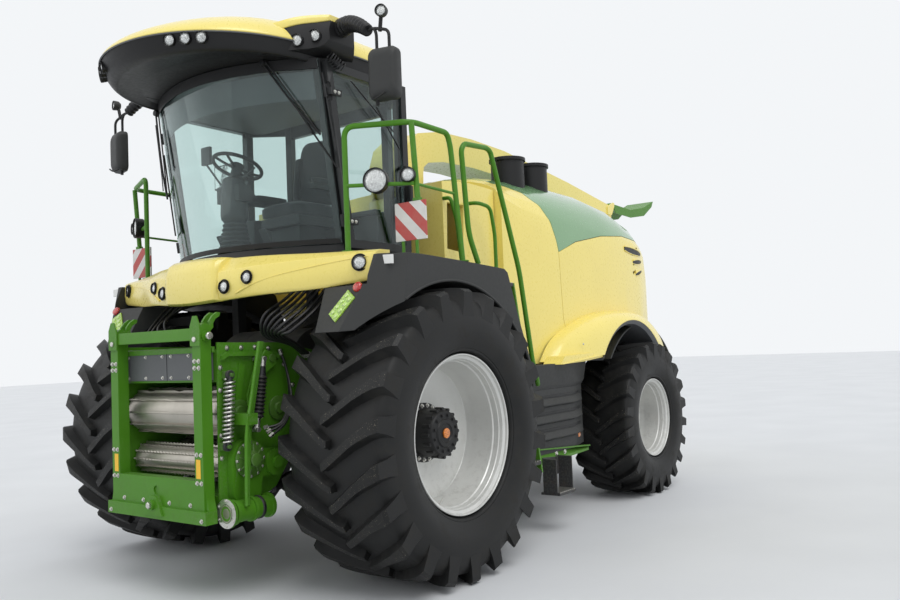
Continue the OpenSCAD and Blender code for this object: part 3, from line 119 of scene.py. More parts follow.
def sides_of(direction):
    d = Vector(direction).normalized()
    side = d.cross(Vector(LEFT)) if abs(d.y) < 0.9 else Vector(FORE)
    side.normalize()
    return d, side, d.cross(side)


def angles(n, shift=0.0):
    """n angles, evenly round a circle. shift is a share of one step."""
    return [2 * math.pi * (k + shift) / n for k in range(n)]


def spoke(a):
    """The way out from an axle at an angle."""
    return Vector((math.cos(a), 0, math.sin(a)))


def turned(profile, origin, direction=LEFT, n=48):
    """A lathe's form: profile is (radius, way along direction)."""
    d, side, up = sides_of(direction)
    rings = []
    for r, t in profile:
        rings.append([origin + d * t + (side * math.cos(a) + up * math.sin(a)) * r for a in angles(n)])
    return loft(rings, caps=False)


def rod(a, b, r, n=20, end=None):
    length = (b - a).length
    return turned([(0, 0), (r, 0), (r if end is None else end, length), (0, length)], a, b - a, n)


def prism(outline, low, high, plane="xz"):
    """A flat outline, pushed out across its plane from low to high."""
    if plane == "xz":
        rings = [[at(x, t, z) for x, z in outline] for t in (low, high)]
    elif plane == "yz":
        rings = [[at(t, y, z) for y, z in outline] for t in (low, high)]
    else:
        rings = [[at(x, y, t) for x, y in outline] for t in (low, high)]
    return loft(rings)


def side_prism(outline, s, near, far):
    """A prism on one side of the machine: s is 1 on the left and -1 on the right."""
    return prism(outline, *sorted((s * near, s * far)))


def box(low, high):
    (x0, y0, z0), (x1, y1, z1) = low, high
    return prism([(x0, y0), (x1, y0), (x1, y1), (x0, y1)], z0, z1, "xy")


def tube(path, r, n=10, per=0, ends=True):
    """A round bar along a path. per is how many steps a curve puts between two of its points."""
    points = smoothed(path, per) if per else [Vector(p) for p in path]
    ring_side, rings = None, []
    for i, p in enumerate(points):
        d = (points[min(i + 1, len(points) - 1)] - points[max(i - 1, 0)]).normalized()
        if ring_side is None:
            ring_side = sides_of(d)[1]
        ring_side = (ring_side - d * ring_side.dot(d)).normalized()
        up = d.cross(ring_side)
        wide = r[min(i, len(r) - 1)] if isinstance(r, (list, tuple)) else r
        rings.append([p + (ring_side * math.cos(a) + up * math.sin(a)) * wide for a in angles(n)])
    return loft(rings, caps=ends)


def bent(path, radius, steps=4):
    """A path of straight stretches, with its corners rounded."""
    path = [Vector(p) for p in path]
    out = [path[0]]
    for a, b, c in zip(path, path[1:], path[2:]):
        reach = min(radius, (a - b).length * 0.45, (c - b).length * 0.45)
        p, q = b + (a - b).normalized() * reach, b + (c - b).normalized() * reach
        for k in range(steps + 1):
            t = k / steps
            out.append(p * (1 - t) ** 2 + b * 2 * t * (1 - t) + q * t * t)
    return out + [path[-1]]


def coil(a, b, radius, wire, turns, n=6, per=14):
    d, side, up = sides_of(b - a)
    total = int(turns * per)
    path = [
        a + (b - a) * (k / total)
        + (side * math.cos(2 * math.pi * k / per) + up * math.sin(2 * math.pi * k / per)) * radius
        for k in range(total + 1)
    ]
    return tube(path, wire, n)


def bolts(places, direction, r=0.012, h=0.009):
    """Hexagon heads on round washers."""
    d = Vector(direction).normalized()
    shapes = []
    for p in places:
        shapes.append(turned([(0, 0), (r * 1.45, 0), (r * 1.45, h * 0.25), (0, h * 0.25)], p, d, 16))
        shapes.append(turned([(0, 0), (r, 0), (r, h), (r * 0.8, h * 1.2), (0, h * 1.2)], p, d, 6))
    return joined(*shapes)


def moved(shape, matrix):
    return [matrix @ p for p in shape[0]], shape[1]


def mirrored(shape):
    return [Vector((p.x, -p.y, p.z)) for p in shape[0]], [tuple(reversed(f)) for f in shape[1]]


def both(shape):
    return joined(shape, mirrored(shape))


def mesh_of(name, *parts):
    """One mesh of parts, each a finish and its shapes, closed where their points meet."""
    mesh = bpy.data.meshes.new(name)
    bm = bmesh.new()
    stuffs = []
    for stuff, *shapes in parts:
        points, faces = joined(*shapes)
        if stuff not in stuffs:
            stuffs.append(stuff)
            mesh.materials.append(materials[stuff])
        made = [bm.verts.new(p) for p in points]
        for face in faces:
            bm.faces.new([made[i] for i in face]).material_index = stuffs.index(stuff)
        bmesh.ops.remove_doubles(bm, verts=made, dist=1e-5)
    bmesh.ops.recalc_face_normals(bm, faces=bm.faces)
    bm.to_mesh(mesh)
    bm.free()
    return mesh


def soften(o, bevel, segments=2, angle=32):
    """Rounds an object's sharp edges and shades the rest smoothly."""
    if bevel:
        m = o.modifiers.new("edges", "BEVEL")
        m.width, m.segments, m.limit_method = bevel, segments, "ANGLE"
        m.angle_limit = math.radians(angle)
        m.harden_normals = False
    m = o.modifiers.new("shading", "NODES")
    m.node_group = smooth_by_angle(50 if bevel else angle)
    m = o.modifiers.new("faces", "WEIGHTED_NORMAL")
    m.keep_sharp = True


def smooth_by_angle(degrees):
    """Shades smoothly across each edge below an angle."""
    name = f"smooth_{degrees}"
    if name in bpy.data.node_groups:
        return bpy.data.node_groups[name]
    tree = bpy.data.node_groups.new(name, "GeometryNodeTree")
    tree.interface.new_socket("Geometry", in_out="INPUT", socket_type="NodeSocketGeometry")
    tree.interface.new_socket("Geometry", in_out="OUTPUT", socket_type="NodeSocketGeometry")
    start, end = tree.nodes.new("NodeGroupInput"), tree.nodes.new("NodeGroupOutput")
    faces, edges = (tree.nodes.new("GeometryNodeSetShadeSmooth") for _ in range(2))
    edges.domain = "EDGE"
    edges.inputs["Shade Smooth"].default_value = False
    angle, sharp = tree.nodes.new("GeometryNodeInputMeshEdgeAngle"), tree.nodes.new("FunctionNodeCompare")
    sharp.operation = "GREATER_THAN"
    sharp.inputs[1].default_value = math.radians(degrees)
    for a, b in ((start.outputs[0], faces.inputs[0]), (faces.outputs[0], edges.inputs[0]),
                 (angle.outputs[0], sharp.inputs[0]), (sharp.outputs[0], edges.inputs["Selection"]),
                 (edges.outputs[0], end.inputs[0])):
        tree.links.new(a, b)
    return tree


def piece(name, body, *parts, bevel=0.0, segments=2, angle=32, subdivide=0, replaces=(), slot=None):
    """One object of parts, each a finish and its shapes. body is the body that it rides on;
    given as a tuple (body, body, start, end) it rides on no body and stays where it is drawn."""
    o = bpy.data.objects.new(name, mesh_of(name, *parts))
    bpy.context.scene.collection.objects.link(o)
    if subdivide:
        m = o.modifiers.new("rounding", "SUBSURF")
        m.levels = m.render_levels = subdivide
    soften(o, bevel, segments, angle)
    if isinstance(body, str):
        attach(o, body)
    else:
        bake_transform(o)
    if replaces:
        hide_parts(*([replaces] if isinstance(replaces, str) else replaces))
    return o


def carved(shape, *steps):
    """A shape after boolean steps: (DIFFERENCE, INTERSECT or UNION, tool shape)."""
    target = bpy.data.objects.new("carving", mesh_of("carving", ("yellow", shape)))
    bpy.context.scene.collection.objects.link(target)
    tools = []
    for operation, tool in steps:
        o = bpy.data.objects.new("tool", mesh_of("tool", ("yellow", tool)))
        bpy.context.scene.collection.objects.link(o)
        m = target.modifiers.new("cut", "BOOLEAN")
        m.operation, m.object, m.solver = operation, o, "EXACT"
        tools.append(o)
    seen = target.evaluated_get(bpy.context.evaluated_depsgraph_get()).to_mesh()
    result = [v.co.copy() for v in seen.vertices], [tuple(p.vertices) for p in seen.polygons]
    for o in (target, *tools):
        bpy.data.objects.remove(o)
    return result


# Finishes
class Finish:
    """A material and the nodes that the finishes share."""

    def __init__(self, name, slot):
        self.stuff = bpy.data.materials.new(name)
        self.stuff.use_nodes = True
        self.stuff["slot"] = slot
        self.tree = self.stuff.node_tree
        self.shader = self.tree.nodes["Principled BSDF"]
        coordinates = self.node("ShaderNodeTexCoord")
        self.place, self.facing = coordinates.outputs["Object"], coordinates.outputs["Normal"]

    def node(self, kind, **settings):
        n = self.tree.nodes.new(kind)
        for key, value in settings.items():
            setattr(n, key, value)
        return n

    def feed(self, socket, value):
        if isinstance(value, bpy.types.NodeSocket):
            self.tree.links.new(value, socket)
        elif hasattr(value, "__len__") and len(value) == 3 and len(socket.default_value) == 4:
            socket.default_value = (*value, 1)
        else:
            socket.default_value = value

    def noise(self, scale, detail=4, rough=0.55, stretch=None):
        n = self.node("ShaderNodeTexNoise")
        place = self.place
        if stretch:
            mapping = self.node("ShaderNodeMapping")
            self.feed(mapping.inputs["Vector"], place)
            mapping.inputs["Scale"].default_value = stretch
            place = mapping.outputs[0]
        for key, value in (("Vector", place), ("Scale", scale), ("Detail", detail), ("Roughness", rough)):
            self.feed(n.inputs[key], value)
        return n.outputs[0]

    def span(self, value, low, high, a=0.0, b=1.0):
        n = self.node("ShaderNodeMapRange")
        for socket, v in zip(n.inputs, (value, low, high, a, b)):
            self.feed(socket, v)
        return n.outputs[0]

    def maths(self, operation, a, b=0.0):
        n = self.node("ShaderNodeMath", operation=operation)
        self.feed(n.inputs[0], a)
        self.feed(n.inputs[1], b)
        return n.outputs[0]

    def part(self, vector, axis):
        n = self.node("ShaderNodeSeparateXYZ")
        self.feed(n.inputs[0], vector)
        return n.outputs[axis]

    def mix(self, share, a, b):
        n = self.node("ShaderNodeMix", data_type="RGBA")
        for socket, v in zip((n.inputs[0], n.inputs[6], n.inputs[7]), (share, a, b)):
            self.feed(socket, v)
        return n.outputs[2]

    def bump(self, height, strength, distance):
        n = self.node("ShaderNodeBump")
        for key, v in (("Height", height), ("Strength", strength), ("Distance", distance)):
            self.feed(n.inputs[key], v)
        self.tree.links.new(n.outputs[0], self.shader.inputs["Normal"])

    def set(self, **values):
        for key, value in values.items():
            self.feed(self.shader.inputs[key.replace("_", " ")], value)


DUST = (0.36, 0.33, 0.26)
SOIL = (0.09, 0.065, 0.04)


def finish(name, slot, colour, rough, metal=0.0, coat=0.0, mottle=0.12, dust=0.12, soil=0.0, grain=0.0,
           grain_scale=900.0, brushed=None, wear=0.0, specular=0.5):
    """A surface with patchy colour, dust on what faces up, soil near the ground, grain and worn edges."""
    f = Finish(name, slot)
    patches = f.noise(2.2, 5, 0.6)
    fine = f.noise(38, 4, 0.65, brushed)
    dark = tuple(c * (1 - mottle) for c in colour)
    pale = tuple(min(1, c * (1 + mottle * 0.6)) for c in colour)
    shade = f.mix(f.span(patches, 0.3, 0.7), dark, pale)
    shade = f.mix(f.span(fine, 0.35, 0.75, 0, 0.5), shade, colour)
    up = f.span(f.part(f.facing, 2), 0.25, 1.0)
    lying = f.maths("MULTIPLY", up, f.span(f.noise(11, 6, 0.7), 0.38, 0.72, 0.25, 1))
    lying = f.maths("MULTIPLY", lying, dust)
    shade = f.mix(lying, shade, DUST)
    if soil:
        low = f.span(f.part(f.place, 2), 1.5, 0.1)
        spots = f.span(f.noise(17, 8, 0.75), 0.5, 0.66)
        splashed = f.maths("MULTIPLY", f.maths("MULTIPLY", low, spots), soil)
        shade = f.mix(splashed, shade, SOIL)
        lying = f.maths("MAXIMUM", lying, splashed)
    if wear:
        edges = f.span(f.node("ShaderNodeNewGeometry").outputs["Pointiness"], 0.53, 0.62)
        chips = f.maths("MULTIPLY", f.maths("MULTIPLY", edges, f.span(f.noise(60, 5, 0.7), 0.45, 0.6)), wear)
        shade = f.mix(chips, shade, (0.30, 0.28, 0.25))
    f.set(Base_Color=shade, Metallic=metal, Coat_Weight=coat, Specular_IOR_Level=specular)
    if coat:
        f.set(Coat_Roughness=0.08)
    gloss = f.span(fine, 0.3, 0.75, max(rough - 0.06, 0.02), rough + 0.07)
    f.set(Roughness=f.maths("ADD", gloss, f.maths("MULTIPLY", lying, 0.5)))
    if grain:
        f.bump(f.noise(grain_scale, 2, 0.6, brushed), grain, 0.001)
    return f.stuff


def glass_pane(name, tint, gloss=0.03):
    """Thin glass: what is behind it, tinted, under its own gloss."""
    f = Finish(name, "glass")
    clear, shine = f.node("ShaderNodeBsdfTransparent"), f.node("ShaderNodeBsdfGlossy")
    clear.inputs["Color"].default_value = (*tint, 1)
    shine.inputs["Roughness"].default_value = gloss
    shine.inputs["Color"].default_value = (0.9, 0.95, 0.95, 1)
    edge_on, both_shaders = f.node("ShaderNodeLayerWeight"), f.node("ShaderNodeMixShader")
    edge_on.inputs["Blend"].default_value = 0.5
    grazing = f.maths("MULTIPLY", f.maths("POWER", edge_on.outputs["Facing"], 4.0), 0.55)
    film = f.span(f.noise(1.3, 5, 0.6), 0.35, 0.7, 0.02, 0.05)
    f.feed(both_shaders.inputs[0], f.maths("ADD", grazing, film))
    f.feed(both_shaders.inputs[1], clear.outputs[0])
    f.feed(both_shaders.inputs[2], shine.outputs[0])
    f.feed(f.tree.nodes["Material Output"].inputs["Surface"], both_shaders.outputs[0])
    f.tree.nodes.remove(f.shader)
    return f.stuff


def striped_board(name):
    """Red and white diagonal bands on a reflecting sheet, mirrored left and right."""
    f = Finish(name, "board")
    y = f.node("ShaderNodeMath", operation="ABSOLUTE")
    f.feed(y.inputs[0], f.part(f.place, 1))
    slope = f.maths("ADD", y.outputs[0], f.part(f.place, 2))
    band = f.maths("FRACT", f.maths("DIVIDE", f.maths("ADD", slope, BOARD_SHIFT), BOARD_BAND))
    red = f.maths("GREATER_THAN", band, 0.5)
    cells = f.node("ShaderNodeTexVoronoi")
    f.feed(cells.inputs["Vector"], f.place)
    cells.inputs["Scale"].default_value = 320
    worn = f.span(f.noise(9, 6, 0.7), 0.35, 0.75, 0, 0.25)
    shade = f.mix(red, (0.74, 0.73, 0.70), (0.50, 0.035, 0.03))
    f.set(Base_Color=f.mix(worn, shade, DUST), Roughness=f.span(worn, 0, 0.25, 0.28, 0.5))
    f.bump(cells.outputs["Distance"], 0.12, 0.0006)
    return f.stuff


def rubber(name, speckled):
    """Tyre rubber. Speckled rubber carries crumbs of soil and cut grass on its worn faces."""
    f = Finish(name, "tyre")
    patches = f.span(f.noise(3.5, 6, 0.6), 0.3, 0.7)
    shade = f.mix(patches, (0.0075, 0.0078, 0.0078), (0.014, 0.014, 0.0135))
    dusty = f.span(f.noise(7, 7, 0.75), 0.5, 0.72, 0, 0.35)
    shade = f.mix(dusty, shade, (0.045, 0.041, 0.034))
    height = f.noise(210, 3, 0.6)
    if speckled:
        crumbs = f.span(f.noise(150, 3, 0.5), 0.66, 0.70)
        shade = f.mix(f.maths("MULTIPLY", crumbs, 0.8), shade, (0.32, 0.29, 0.22))
        height = f.maths("ADD", height, crumbs)
    f.set(Base_Color=shade, Roughness=f.span(dusty, 0, 0.35, 0.5, 0.8), Specular_IOR_Level=0.3)
    f.bump(height, 0.25, 0.0012)
    return f.stuff


def weave(name):
    """Seat cloth: two crossed threads, with sheen."""
    f = Finish(name, "seat_fabric")
    threads = [f.node("ShaderNodeTexWave", bands_direction=way) for way in ("Y", "Z")]
    for t in threads:
        f.feed(t.inputs["Vector"], f.place)
        t.inputs["Scale"].default_value = 90
    cloth = f.maths("MULTIPLY", threads[0].outputs[1], threads[1].outputs[1])
    f.set(Base_Color=f.mix(cloth, (0.022, 0.023, 0.025), (0.06, 0.062, 0.066)), Roughness=0.85)
    f.set(Sheen_Weight=0.4, Sheen_Roughness=0.5)
    f.bump(cloth, 0.5, 0.001)
    return f.stuff


def lens(name, colour, glow):
    """A lamp's or reflector's moulded glass: prisms under a clear coat."""
    f = Finish(name, "lamp")
    cells = f.node("ShaderNodeTexVoronoi", feature="DISTANCE_TO_EDGE")
    f.feed(cells.inputs["Vector"], f.place)
    cells.inputs["Scale"].default_value = 75
    edge = f.span(cells.outputs["Distance"], 0.02, 0.16)
    f.set(Base_Color=f.mix(edge, tuple(c * 0.45 for c in colour), colour), Roughness=0.12, Coat_Weight=1.0)
    f.set(Metallic=glow, Coat_Roughness=0.03)
    f.bump(edge, 0.35, 0.002)
    return f.stuff


def floor_finish():
    f = Finish("pale_floor", "lamp")
    f.set(Base_Color=f.mix(f.span(f.noise(0.8, 3, 0.5), 0.3, 0.7), (0.66, 0.67, 0.68), (0.70, 0.71, 0.72)),
          Roughness=0.7)
    return f.stuff


BOARD_BAND = 0.20
BOARD_SHIFT = 0.02
materials = {
    "yellow": finish("yellow_enamel", "yellow_paint", (0.93, 0.77, 0.20), 0.30, coat=0.35, mottle=0.03,
                     dust=0.02),
    "green": finish("green_enamel", "green_paint", (0.070, 0.23, 0.012), 0.42, coat=0.08, dust=0.04,
                    soil=0.2, wear=0.25, specular=0.25),
    # The hood top's paler, greyer copy of the green paint: painted sky reflection, over its real clear coat.
    "hood_green_painted_sky_reflection": finish("hood_enamel_painted_sky_reflection", "green_paint", (0.17, 0.36, 0.155), 0.24, coat=0.9, mottle=0.03,
                         dust=0.04),
    "chassis": finish("chassis_paint", "dark_frame", (0.028, 0.029, 0.031), 0.55, dust=0.3, soil=0.6,
                      grain=0.15, wear=0.3),
    "silver": finish("silver_enamel", "silver_rim", (0.66, 0.66, 0.63), 0.34, metal=0.25, coat=0.2,
                     mottle=0.05, dust=0.10, soil=0.3, grain=0.05),
    "steel": finish("scraped_steel", "bright_steel", (0.46, 0.43, 0.38), 0.38, metal=0.9, mottle=0.3,
                    dust=0.25, grain=0.35, grain_scale=160, brushed=(1, 0.05, 1)),
    "zinc": finish("zinc_plate", "bright_steel", (0.62, 0.61, 0.57), 0.3, metal=0.9, mottle=0.15, dust=0.1),
    "chrome": finish("chrome_rod", "bright_steel", (0.75, 0.75, 0.75), 0.1, metal=1.0, mottle=0.03,
                     dust=0.05),
    "cab_black": finish("cab_enamel", "cab_frame", (0.011, 0.012, 0.0125), 0.38, coat=0.15, dust=0.04,
                        grain=0.04, specular=0.35),
    "plastic": finish("grained_plastic", "dark_plastic", (0.034, 0.035, 0.034), 0.55, dust=0.07, grain=0.3,
                      grain_scale=520, mottle=0.08, specular=0.35),
    "grey_plastic": finish("grey_plastic", "dark_plastic", (0.10, 0.105, 0.11), 0.5, dust=0.15, grain=0.4,
                           grain_scale=520, mottle=0.08),
    "black": finish("black_plastic", "black_plastic", (0.010, 0.010, 0.0105), 0.45, dust=0.05, grain=0.2,
                    grain_scale=420, specular=0.35),
    "interior": finish("cab_trim", "black_plastic", (0.035, 0.037, 0.038), 0.6, dust=0.05, grain=0.5,
                       grain_scale=420),
    "hose": finish("hose_rubber", "black_plastic", (0.012, 0.012, 0.013), 0.42, dust=0.15, mottle=0.2,
                   grain=0.2, grain_scale=240),
    "cast": finish("cast_green", "green_paint", (0.068, 0.17, 0.022), 0.42, dust=0.16, soil=0.3, grain=0.5,
                   grain_scale=110, wear=0.4, coat=0.2),
    "rubber": rubber("tyre_rubber", False),
    "worn_rubber": rubber("lug_rubber", True),
    "fabric": weave("seat_cloth"),
    "glass": glass_pane("window_glass", (0.86, 0.92, 0.91)),
    "board": striped_board("warning_sheet"),
    "lamp": lens("lamp_lens", (0.80, 0.82, 0.80), 0.6),
    "amber": lens("amber_lens", (0.90, 0.25, 0.01), 0.0),
    "red": lens("red_lens", (0.65, 0.02, 0.015), 0.0),
    "marker": lens("marker_lens", (0.45, 0.75, 0.06), 0.0),
    "lamp_green": lens("marker_cells", (0.70, 0.95, 0.30), 0.0),
    "white": finish("white_plate", "lamp", (0.78, 0.78, 0.75), 0.4, dust=0.1),
    "floor": floor_finish(),
    "sticker": finish("plain_sticker", "yellow_paint", (0.90, 0.52, 0.02), 0.4, dust=0.1),
}

# Finishes of the CAD nodes, of the replaced ones too: (nodes, finish, bevel)
DRESSED = [
    (("frame_rails", "platform_frame", "rear_axle", "engine_block", "fuel_tank", "drum_housing", "front_axle",
      "knuckle_left", "knuckle_right"), "chassis", 0.005),
    (("steering_rod", "lift_rods"), "chrome", 0.002),
    (("cab_shell", "cab_door", "body_frame"), "cab_black", 0.004),
    (("cab_glass", "door_glass"), "glass", 0.0),
    (("roof_visor", "mirrors", "stacks", "lift_cylinders"), "black", 0.004),
    (("cab_seat", "steering_column"), "interior", 0.008),
    (("fascia", "cab_roof", "yellow_front_body", "tower", "side_panel_left", "side_panel_right", "rear_panel",
      "rear_fender_left", "rear_fender_right", "turret", "chute_boom"), "yellow", 0.004),
    (("fender_left", "fender_right", "lower_panels", "wheel_arches"), "plastic", 0.006),
    # The hood top takes the green paint with painted sky reflection.
    (("hood_top",), "hood_green_painted_sky_reflection", 0.004),
    (("platform_rails", "ladder", "intake_housing", "intake_drive", "pendulum_frame", "chute_flap"),
     "green", 0.003),
    (("feed_upper_front", "feed_upper_rear", "feed_lower_front", "feed_lower_rear"), "steel", 0.0015),
    (("front_rim_left", "front_rim_right", "rear_rim_left", "rear_rim_right"), "silver", 0.003),
    (("front_tyre_left", "front_tyre_right", "rear_tyre_left", "rear_tyre_right"), "rubber", 0.006),
    (("warning_boards",), "board", 0.001),
    (("lamps",), "lamp", 0.002),
]


def dress_nodes():
    for names, key, bevel in DRESSED:
        for name in names:
            o = frame["nodes"][name]
            o.data.materials.clear()
            o.data.materials.append(materials[key])
            for spare in ("custom_normal", "sharp_edge", "sharp_face"):
                found = o.data.attributes.get(spare)
                if found:
                    o.data.attributes.remove(found)
            m = o.modifiers.new("welded", "WELD")
            m.merge_threshold = 1e-5
            m = o.modifiers.new("plain_faces", "DECIMATE")
            m.decimate_type, m.angle_limit = "DISSOLVE", math.radians(0.4)
            soften(o, bevel)


dress_nodes()


# Wheels
def tyre(name, body, node, lug_h, lug_count, rim_r):
    """A carcass with plain ribbed sidewalls under two rows of curved lugs."""
    low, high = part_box(node)
    centre = (low + high) / 2
    r, half = (high.z - low.z) / 2, (high.y - low.y) / 2
    top = r - lug_h
    deep = top - rim_r
    bead = half * 0.84 - 0.03
    wall = [(rim_r - 0.024, bead), (rim_r + 0.004, bead + 0.006), (rim_r + 0.018, half * 0.87),
            (rim_r + 0.030, half * 0.885), (rim_r + 0.036, half * 0.885), (rim_r + 0.044, half * 0.905),
            (rim_r + deep * 0.30, half * 0.975), (rim_r + deep * 0.48, half * 0.995),
            (rim_r + deep * 0.66, half * 0.98), (rim_r + deep * 0.86, half * 0.925),
            (rim_r + deep * 0.955, half * 0.80), (top - 0.006, half * 0.40), (top, 0.0)]
    wall = [tuple(p) for p in smoothed([(*p, 0) for p in wall], 4)]
    profile = [(p[0], p[1]) for p in wall] + [(p[0], -p[1]) for p in reversed(wall[:-1])]
    carcass = turned(profile + profile[:1], centre, LEFT, 120)
    # Lug stations: share of the half width, share of the sweep, half thickness, height share
    stations = [(-0.07, 0.0, 0.021, 0.90), (-0.03, 0.01, 0.027, 1.0), (0.12, 0.16, 0.029, 1.0),
                (0.32, 0.38, 0.031, 1.0), (0.52, 0.60, 0.033, 1.0), (0.70, 0.77, 0.037, 0.985),
                (0.84, 0.90, 0.045, 0.93), (0.93, 0.98, 0.052, 0.80), (0.985, 1.02, 0.050, 0.42)]
    sweep = math.radians(15.5)
    size = r / 1.02
    lugs = []
    for row in (1, -1):
        for k in range(lug_count):
            start = -math.pi / 2 + 0.03 + (k + (0 if row > 0 else 0.5)) * 2 * math.pi / lug_count
            rings = []
            for share, turn, thick, tall in stations:
                a, y = start + turn * sweep, row * share * half
                crown = r - lug_h * (1 - tall)
                foot = top - 0.012 - (0.0 if share < 0.8 else (share - 0.8) / 0.19 * deep * 0.34)
                ring = []
                for wide, radius in ((-1.75, foot), (-1.25, along(foot, crown, 0.45)), (-1, crown),
                                     (1, crown), (1.25, along(foot, crown, 0.45)), (1.75, foot)):
                    b = a + wide * thick * size / r
                    ring.append(centre + Vector((radius * math.cos(b), y, radius * math.sin(b))))
                rings.append(ring)
            points, faces = loft(rings)
            n = len(rings[0])
            crest = {tuple(sorted((j * n + 2, j * n + 3, (j + 1) * n + 3, (j + 1) * n + 2)))
                     for j in range(len(rings) - 1)}
            plain = [f for f in faces if tuple(sorted(f)) not in crest]
            worn = [f for f in faces if tuple(sorted(f)) in crest]
            lugs.append((points, plain, worn))
    tyre_piece(name, body, node, carcass, lugs)


def tyre_piece(name, body, node, carcass, lugs):
    mesh = bpy.data.meshes.new(name)
    bm = bmesh.new()
    mesh.materials.append(materials["rubber"])
    mesh.materials.append(materials["worn_rubber"])
    for points, plain, worn in [(carcass[0], carcass[1], [])] + lugs:
        made = [bm.verts.new(p) for p in points]
        for faces, index in ((plain, 0), (worn, 1)):
            for f in faces:
                bm.faces.new([made[i] for i in f]).material_index = index
        bmesh.ops.remove_doubles(bm, verts=made, dist=1e-5)
    bmesh.ops.recalc_face_normals(bm, faces=bm.faces)
    bm.to_mesh(mesh)
    bm.free()
    o = bpy.data.objects.new(name, mesh)
    bpy.context.scene.collection.objects.link(o)
    soften(o, 0.007, 2, 28)
    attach(o, body)
    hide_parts(node)


def wheel(name, body, tyre_node, rim_node, lug_h, rim_r, hub_r, hub_out, disc_y):
    tyre(name + "_tyre_rubber", body, tyre_node, lug_h, LUGS_A_ROW, rim_r)
    low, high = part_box(tyre_node)
    centre = (low + high) / 2
    side = 1 if centre.y > 0 else -1
    out = Vector((0, side, 0))
    half = (high.y - low.y) * 0.42
    r = rim_r
    barrel = [(r, -half), (r, -half + 0.016), (r - 0.022, -half + 0.028), (r - 0.030, -0.06),
              (r - 0.060, -0.03), (r - 0.062, disc_y + 0.03), (r - 0.040, disc_y + 0.07),
              (r - 0.030, half - 0.06), (r - 0.024, half - 0.026), (r - 0.003, half - 0.016),
              (r, half - 0.008), (r - 0.003, half), (r - 0.011, half), (r - 0.015, half - 0.006),
              (r - 0.016, half - 0.020), (r - 0.036, half - 0.030), (r - 0.041, half - 0.055),
              (r - 0.046, half - 0.060), (r - 0.048, half - 0.100), (r - 0.056, half - 0.108),
              (r - 0.060, disc_y + 0.09), (r - 0.078, disc_y + 0.05), (r - 0.082, disc_y + 0.028),
              (r - 0.088, disc_y + 0.020), (r - 0.12, disc_y + 0.018), (r * 0.52, disc_y - 0.012),
              (r * 0.46, disc_y - 0.020), (hub_r + 0.03, disc_y - 0.020), (hub_r + 0.03, disc_y - 0.044),
              (r - 0.08, disc_y - 0.004), (r - 0.078, -0.05), (r - 0.046, -0.07), (r - 0.04, -half + 0.03),
              (r - 0.014, -half)]
    rim = turned(barrel + barrel[:1], centre, out, 128)
    hub = [(0, disc_y - 0.06), (hub_r + 0.04, disc_y - 0.06), (hub_r + 0.04, disc_y),
           (hub_r, disc_y + 0.004), (hub_r, hub_out - 0.045), (hub_r, hub_out - 0.030),
           (hub_r * 0.93, hub_out - 0.008), (hub_r * 0.88, hub_out), (hub_r * 0.60, hub_out),
           (hub_r * 0.56, hub_out + 0.010), (hub_r * 0.40, hub_out + 0.012),
           (hub_r * 0.36, hub_out + 0.004), (0, hub_out + 0.004)]
    body_shapes = [turned(hub, centre, out, 72)]
    for a in angles(16):
        root = centre + spoke(a) * hub_r * 0.985
        body_shapes.append(rod(root + out * (hub_out - 0.075), root + out * (hub_out - 0.012),
                               hub_r * 0.075, 10))
    heads = [centre + out * hub_out + spoke(a) * hub_r * 0.74 for a in angles(12, 0.5)]
    flange = [centre + out * (disc_y + 0.001) + spoke(a) * (hub_r + 0.022) for a in angles(20, 0.5)]
    valve_way = spoke(-1.1)
    valve = centre + valve_way * (r - 0.052) + out * (half - 0.07)
    piece(name + "_rim_and_hub", body, ("silver", rim), ("black", *body_shapes),
          ("black", bolts(heads, out, 0.011, 0.01)), ("zinc", bolts(flange, out, 0.011, 0.012)),
          ("amber", turned([(0, 0.004), (0.036, 0.004), (0.036, 0.014), (0.030, 0.017), (0, 0.017)],
                           centre + out * hub_out, out, 32)),
          ("zinc", rod(valve, valve - valve_way * 0.045 + out * 0.02, 0.006, 10)),
          bevel=0.0025, replaces=rim_node, slot="silver_rim")


LUGS_A_ROW = 22
FRONT_WHEEL = dict(lug_h=0.055, rim_r=0.558, hub_r=0.172, hub_out=0.200, disc_y=0.020)
REAR_WHEEL = dict(lug_h=0.042, rim_r=0.407, hub_r=0.120, hub_out=0.020, disc_y=-0.060)
BODY_OF = {n: b for b, names in frame["record"]["behaviour"]["bodies"].items() for n in names}
for end, sizes in (("front", FRONT_WHEEL), ("rear", REAR_WHEEL)):
    for hand in ("left", "right"):
        wheel(f"{end}_{hand}", BODY_OF[f"{end}_tyre_{hand}"], f"{end}_tyre_{hand}", f"{end}_rim_{hand}",
              **sizes)


# Intake
def roller(name, body, node, r, count, toothed):
    low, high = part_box(node)
    c, half = (low + high) / 2, (high.y - low.y) / 2 - 0.03
    shapes = [turned([(0.038, -half - 0.02), (0.07, -half), (r - 0.016, -half), (r - 0.016, half),
                      (0.07, half), (0.038, half + 0.02)], c, LEFT, 64)]
    ribs = []
    for a in angles(count):
        d, t = spoke(a), Vector((-math.sin(a), 0, math.cos(a)))
        edge, steps = [], 54 if toothed else 18
        for i in range(steps + 1):
            y = -half + 2 * half * i / steps
            notch = 0.009 if (i % 2 if toothed else i % 6 == 3) else 0.0
            edge.append((y, r - notch))
        outline = [(-half, r - 0.022)] + edge + [(half, r - 0.022)]
        sides = []
        for off in (-0.006, 0.006):
            sides.append([c + d * rad + t * (off + (rad - r) * 0.25) + Vector((0, y, 0))
                          for y, rad in outline])
        ribs.append(loft(sides))
        for end in (-1, 1):
            ribs.append(rod(c + d * (r - 0.03) + Vector((0, end * (half - 0.004), 0)),
                            c + d * (r - 0.03) + Vector((0, end * (half + 0.006), 0)), 0.009, 10))
    piece(name, body, ("steel", *shapes), ("steel", *ribs), bevel=0.0012, replaces=node)


